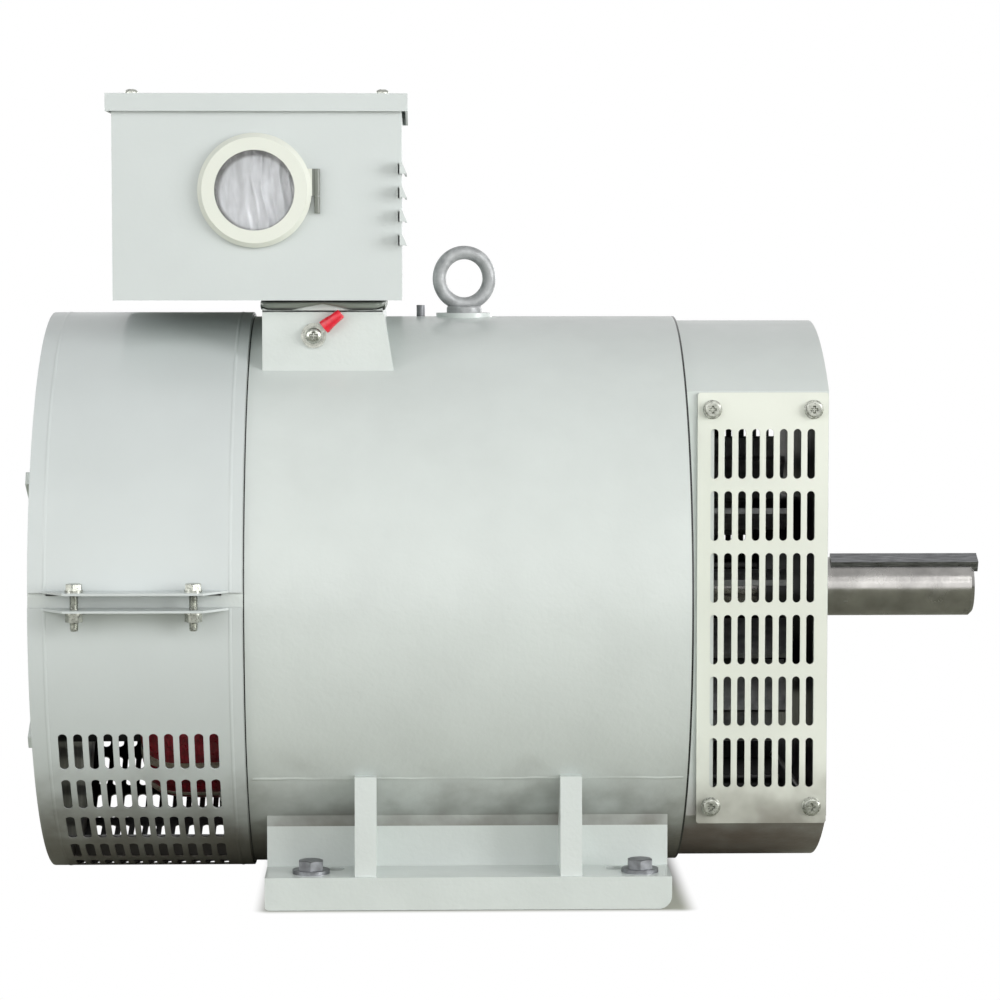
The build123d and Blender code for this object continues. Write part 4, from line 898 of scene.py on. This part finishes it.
class ALTERNATOR_OT_cover_trim(AlternatorOperator, bpy.types.Operator):
    """Roll a bead along each edge of the brush cover and leave the mould's line on the frame"""

    bl_idname = "alternator.cover_trim"
    bl_label = "Cover beads and parting line"

    def execute(self, context):
        low, high = node_box("brush_cover_upper")
        lower_high = node_box("brush_cover_lower")[1]
        outer = (high[2] - SHAFT_Z) - 0.3
        bead = sizes().bead / MM
        for name, z_edge, side in (("upper", low[2], 1), ("lower", lower_high[2], -1)):
            start = np.arcsin((z_edge - SHAFT_Z) / outer)
            ends = (start, pi - start) if side > 0 else (pi - start, 2 * pi + start)
            angles = np.linspace(*ends, 121)
            grids = []
            for x in (low[0] + 11, high[0] - 8):
                path = np.stack(
                    [np.full(len(angles), x), outer * np.cos(angles), SHAFT_Z + outer * np.sin(angles)], axis=1
                )
                section = disc_section(bead, 10) * (1.6, 0.7)
                grid = capped(swept(path, section[:, ::-1]))
                grids.append((grid, cells(len(grid), 10)))
            lay("cover_beads_" + name, grids, "sheet")
        self.parting_line()
        return {"FINISHED"}

    def parting_line(self):
        """A low ridge along both sides of the frame, 36 degrees below the shaft, that dips and
        wanders by a fraction of its height."""
        low, high = node_box("stator_frame")
        radius, ridge = high[1], sizes().parting_line / MM
        grids = []
        for side in (-1, 1):
            x = np.linspace(low[0] + 4, high[0] - 4, 160)
            below = radians(36) + 0.0012 * np.sin(x / 9) + 0.0008 * np.sin(x / 3.7)
            proud = ridge * (0.65 + 0.35 * np.sin(x / 14 + side))
            grid = []
            for across, up in ((-1.6, -0.4), (-0.8, 0.55), (0.0, 1.0), (0.8, 0.55), (1.6, -0.4)):
                angle = below + across / radius
                distance = radius + up * proud
                y, z = side * distance * np.cos(angle), SHAFT_Z - distance * np.sin(angle)
                grid.append(np.stack([x, y, z], axis=1))
            grids.append((np.array(grid), cells(5, len(x), round_columns=False)))
        lay("parting_line", grids, "casting")


class ALTERNATOR_OT_window_film(AlternatorOperator, bpy.types.Operator):
    """Crumple the protective film behind the window glass"""

    bl_idname = "alternator.window_film"
    bl_label = "Window film"

    def execute(self, context):
        low, high = node_box("protective_film")
        middle, half = (low + high) / 2, (high - low) / 2
        rows, columns = 90, 240
        out = np.linspace(0, 1, rows)[:, None]
        turn = np.linspace(0, 2 * pi, columns, endpoint=False)[None, :]
        u, v = out * np.cos(turn), out * np.sin(turn)
        # folds: sines across the width whose phase wanders with height, raised to sharpen the crests
        across = 0.5 * u + 0.045 * np.sin(2.1 * v + 0.7) + 0.008 * np.sin(7 * v + 9 * u)
        folds = 0.5 * np.abs(np.sin(15 * across)) ** 3 + 0.35 * np.abs(np.sin(29 * across + 1.3)) ** 5
        folds = folds * (0.2 + 0.8 * np.clip((u + 0.35) / 0.4, 0, 1))
        folds = folds + 0.12 * np.sin(3 * u + 4.5 * v) + 0.25 * np.clip(u - 0.55, 0, 1)
        fold = (folds - folds.min()) / (folds.max() - folds.min())
        depth = min(sizes().crease / MM, high[1] - low[1])
        y = high[1] - depth * fold - 0.3
        grid = np.stack([middle[0] + half[0] * u, y, middle[2] + half[2] * v], axis=2)
        grids = [(grid, cells(rows, columns))]
        lay("crumpled_film", grids, "film", ("protective_film",), sharp=50)
        return {"FINISHED"}


class ALTERNATOR_OT_gasket(AlternatorOperator, bpy.types.Operator):
    """Squeeze the rubber gasket so that it bulges between neck and box"""

    bl_idname = "alternator.gasket"
    bl_label = "Gasket"
    lip_height = 4.6
    lobe_lengths = (31, 34)
    way_half_width, way_half_depth = 28.0, 60.0

    def execute(self, context):
        low, high = node_box("box_gasket")
        # one closed band: the outline is a rounded oblong, and the section bulges by a half
        # circle of the height, less where the lips pinch it between two lobes
        count = 360
        along = np.linspace(0, 2 * pi, count, endpoint=False)
        half = (high - low) / 2
        middle = (high + low) / 2
        lobe = sizes().lobe / MM
        power = 0.16
        outline_x = np.sign(np.cos(along)) * np.abs(np.cos(along)) ** power
        outline_y = np.sign(np.sin(along)) * np.abs(np.sin(along)) ** power
        sides = 14
        turn = np.linspace(-pi / 2, pi / 2, sides)
        pinch = self.pinch(middle[0] + half[0] * outline_x, low, high)
        swell = 1.0 - 0.6 * pinch
        bulge = lobe * (np.cos(turn)[None, :] * swell[:, None] - 1.0)
        radius_x = (half[0] + bulge) * outline_x[:, None]
        radius_y = (half[1] + bulge) * outline_y[:, None]
        lifted = low[2] + self.lip_height * pinch[:, None] * (np.abs(outline_y[:, None]) > 0.9)
        z = (high[2] + lifted) / 2 + (high[2] - lifted) / 2 * np.sin(turn)[None, :] + 0 * radius_x
        outer = np.stack([middle[0] + radius_x, middle[1] + radius_y, z], axis=2)
        inner_x = middle[0] + self.way_half_width * outline_x
        inner_y = middle[1] + self.way_half_depth * outline_y
        bottom = np.stack([inner_x, inner_y, np.full(count, low[2])], axis=1)
        top = np.stack([inner_x, inner_y, np.full(count, high[2])], axis=1)
        grid = np.concatenate([bottom[:, None], outer, top[:, None], bottom[:, None]], axis=1)
        grids = [(grid.transpose(1, 0, 2), cells(grid.shape[1], count))]
        lay("squeezed_gasket", grids, "rubber", ("box_gasket",))
        self.lips(low, high)
        return {"FINISHED"}

    def pinch(self, x, low, high):
        """How far the rubber is squeezed at a station: nothing in the middle of each of two lobes
        and fully between them, along a quarter of an ellipse."""
        pinch = np.ones_like(x)
        first, second = self.lobe_lengths
        for start, end in ((low[0], low[0] + first), (high[0] - second, high[0])):
            off = np.clip(np.abs(x - (start + end) / 2) / ((end - start) / 2), 0, 1)
            pinch = np.minimum(pinch, 1 - np.sqrt(1 - off**2))
        return pinch

    def lips(self, low, high):
        """Cast lips along the neck's front and back edges that fill the squeezed stretches."""
        x = np.linspace(low[0] + 3.7, high[0] - 3.7, 90)
        rise = self.lip_height * self.pinch(x, low, high)
        grids = []
        for edge, inward in ((low[1] + 3.5, 1), (high[1] - 3.5, -1)):
            grid = [
                np.stack([x, np.full(90, edge + inward * depth), low[2] - 1 + (rise + 1) * up], axis=1)
                for depth, up in ((0.0, 0.0), (0.0, 0.6), (0.6, 0.95), (2.0, 1.0), (5.0, 1.0), (6.0, 0.0))
            ]
            grids.append((np.array(grid), cells(6, 90, round_columns=False)))
        lay("neck_lips", grids, "casting")


class ALTERNATOR_OT_brush_springs(AlternatorOperator, bpy.types.Operator):
    """Coil the springs under the brushes"""

    bl_idname = "alternator.brush_springs"
    bl_label = "Brush springs"

    def execute(self, context):
        for side in ("outer", "inner"):
            node = "brush_spring_" + side
            low, high = node_box(node)
            wire = sizes().wire / MM
            middle = (low + high) / 2
            radius = (high[0] - low[0]) / 2 - wire / 2
            turns = 7
            # helix: the height rises evenly with the angle, with a flat turn at each end
            turn = np.linspace(0, 2 * pi * turns, turns * 24)
            share = np.clip((turn - 2 * pi) / (turn[-1] - 4 * pi), 0, 1)
            z = low[2] + wire / 2 + (high[2] - low[2] - wire) * share
            path = np.stack([middle[0] + radius * np.cos(turn), middle[1] + radius * np.sin(turn), z], axis=1)
            ring = disc_section(wire / 2, 8)
            outward = np.stack([np.cos(turn), np.sin(turn), 0 * turn], axis=1)
            grid = path[:, None] + ring[None, :, :1] * outward[:, None] + ring[None, :, 1:] * np.array([0, 0, 1.0])
            grid = capped(grid)
            grids = [(grid, cells(len(grid), 8))]
            piece = lay(node + "_coil", grids, "spring", (node,))
            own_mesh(piece)
        return {"FINISHED"}


class ALTERNATOR_OT_stage(AlternatorOperator, bpy.types.Operator):
    """Set the floor, lamps, world and camera"""

    bl_idname = "alternator.stage"
    bl_label = "Stage"
    # name, place and width in metres, and power in watts
    lamps = (
        ("Key lamp", (-1.6, -2.8, 2.0), 1.6, 20),
        ("High right lamp", (1.6, -2.8, 2.0), 1.6, 17),
        ("Left lamp", (-2.6, -1.6, 0.8), 1.6, 28),
        ("Right lamp", (2.6, -1.6, 0.8), 1.6, 74),
        ("Low lamp", (0.2, -2.8, 0.3), 2.2, 16),
        ("Back left lamp", (-1.9, 2.6, 0.7), 1.6, 45),
        ("Back right lamp", (1.9, 2.6, 0.7), 1.6, 45),
    )
    stance = (0.137, 0.171, 1)

    def execute(self, context):
        self.floor()
        self.world()
        for name, place, size, power in self.lamps:
            self.lamp(name, place, size, power * sizes().lamp)
        self.camera()
        return {"FINISHED"}

    def floor(self):
        """Round floor on the foot plane: plain near the part and fading into the white beyond."""
        radius = sizes().floor
        turn = np.linspace(0, 2 * pi, 96, endpoint=False)
        level = np.full(96, FOOT_PLANE * MM - 0.0005)
        points = np.stack([radius * np.cos(turn), radius * np.sin(turn), level], axis=1)
        mesh = bpy.data.meshes.new("floor")
        mesh.from_pydata(points.tolist(), [], [list(range(96))])
        material = bpy.data.materials.new("White studio paper")
        material.use_nodes = True
        tree = material.node_tree
        tree.nodes.clear()
        paper = add(tree, "ShaderNodeBsdfDiffuse", {"Color": (*colours().floor, 1)})
        glow = add(tree, "ShaderNodeEmission", {"Color": (1, 1, 1, 1), "Strength": 1.0})
        rays = add(tree, "ShaderNodeLightPath")
        place = add(tree, "ShaderNodeTexCoord").outputs["Object"]
        # distance outside the oblong that the part stands on
        outside = vectors(tree, "SUBTRACT", vectors(tree, "ABSOLUTE", place), self.stance)
        far = vectors(tree, "LENGTH", vectors(tree, "MAXIMUM", outside, (0, 0, 0)))
        fade = ranged(tree, far, 0.0, 0.014, 0.1, 1.0, "SMOOTHSTEP")
        seen = maths(tree, "MULTIPLY", rays.outputs["Is Camera Ray"], fade)
        mix = add(tree, "ShaderNodeMixShader", {0: seen, 1: paper.outputs[0], 2: glow.outputs[0]})
        add(tree, "ShaderNodeOutputMaterial", {"Surface": mix.outputs[0]})
        mesh.materials.append(material)
        piece = bpy.data.objects.new("floor", mesh)
        bpy.context.scene.collection.objects.link(piece)

    def world(self):
        """White to the eye and to reflections, and a soft grey sky to everything else."""
        world = bpy.data.worlds.new("White studio")
        bpy.context.scene.world = world
        world.use_nodes = True
        tree = world.node_tree
        tree.nodes.clear()
        rays = add(tree, "ShaderNodeLightPath").outputs
        eye = maths(tree, "MAXIMUM", rays["Is Camera Ray"], rays["Is Transmission Ray"])
        soft = ranged(tree, rays["Is Glossy Ray"], 0.0, 1.0, 0.2, 0.85)
        strength = ranged(tree, eye, 0.0, 1.0, soft, 1.0)
        white = add(tree, "ShaderNodeBackground", {"Color": (1, 1, 1, 1), "Strength": strength})
        add(tree, "ShaderNodeOutputWorld", {"Surface": white.outputs[0]})

    def lamp(self, name, place, size, power):
        """A square soft lamp that faces the middle of the part."""
        light = bpy.data.lights.new(name, "AREA")
        light.size = size
        light.energy = power
        lamp = bpy.data.objects.new(name, light)
        lamp.location = place
        lamp.rotation_euler = (Vector((0, 0, 0.25)) - Vector(place)).to_track_quat("-Z", "Y").to_euler()
        bpy.context.scene.collection.objects.link(lamp)

    def camera(self):
        """Long lens, level with the top of the frame and facing it nearly squarely."""
        data = bpy.data.cameras.new("Camera")
        data.lens = sizes().focal
        data.sensor_width = 36
        camera = bpy.data.objects.new("Camera", data)
        camera.location = (-0.042, -2.414, 0.439)
        aim = Vector((0.0205, 0.0, 0.2625)) - camera.location
        camera.rotation_euler = aim.to_track_quat("-Z", "Y").to_euler()
        bpy.context.scene.collection.objects.link(camera)
        bpy.context.scene.camera = camera
        bpy.context.scene.view_settings.view_transform = "Standard"


OPERATORS = (
    ALTERNATOR_OT_castings,
    ALTERNATOR_OT_running_gear,
    ALTERNATOR_OT_terminal_box,
    ALTERNATOR_OT_fasteners,
    ALTERNATOR_OT_stator_winding,
    ALTERNATOR_OT_cover_trim,
    ALTERNATOR_OT_window_film,
    ALTERNATOR_OT_gasket,
    ALTERNATOR_OT_brush_springs,
    ALTERNATOR_OT_stage,
)


class ALTERNATOR_PT_panel(bpy.types.Panel):
    """Sizes, colours and steps of the alternator"""

    bl_idname = "ALTERNATOR_PT_panel"
    bl_label = "Brush alternator head"
    bl_space_type = "VIEW_3D"
    bl_region_type = "UI"
    bl_category = "Alternator"

    def draw(self, context):
        layout = self.layout
        for group in (context.scene.alternator_sizes, context.scene.alternator_colours):
            box = layout.box()
            for name in type(group).__annotations__:
                box.prop(group, name)
        for operator in OPERATORS:
            layout.operator(operator.bl_idname)


CLASSES = (AlternatorColours, AlternatorSizes, *OPERATORS, ALTERNATOR_PT_panel)


def register():
    """Add the classes and hang the settings on the scene."""
    for one in CLASSES:
        bpy.utils.register_class(one)
    bpy.types.Scene.alternator_colours = bpy.props.PointerProperty(type=AlternatorColours)
    bpy.types.Scene.alternator_sizes = bpy.props.PointerProperty(type=AlternatorSizes)


def unregister():
    """Take the classes and settings away again."""
    del bpy.types.Scene.alternator_sizes
    del bpy.types.Scene.alternator_colours
    for one in reversed(CLASSES):
        bpy.utils.unregister_class(one)


def main():
    """Build everything in order."""
    register()
    for operator in OPERATORS:
        group, name = operator.bl_idname.split(".")
        getattr(getattr(bpy.ops, group), name)()


if __name__ == "__main__":
    main()
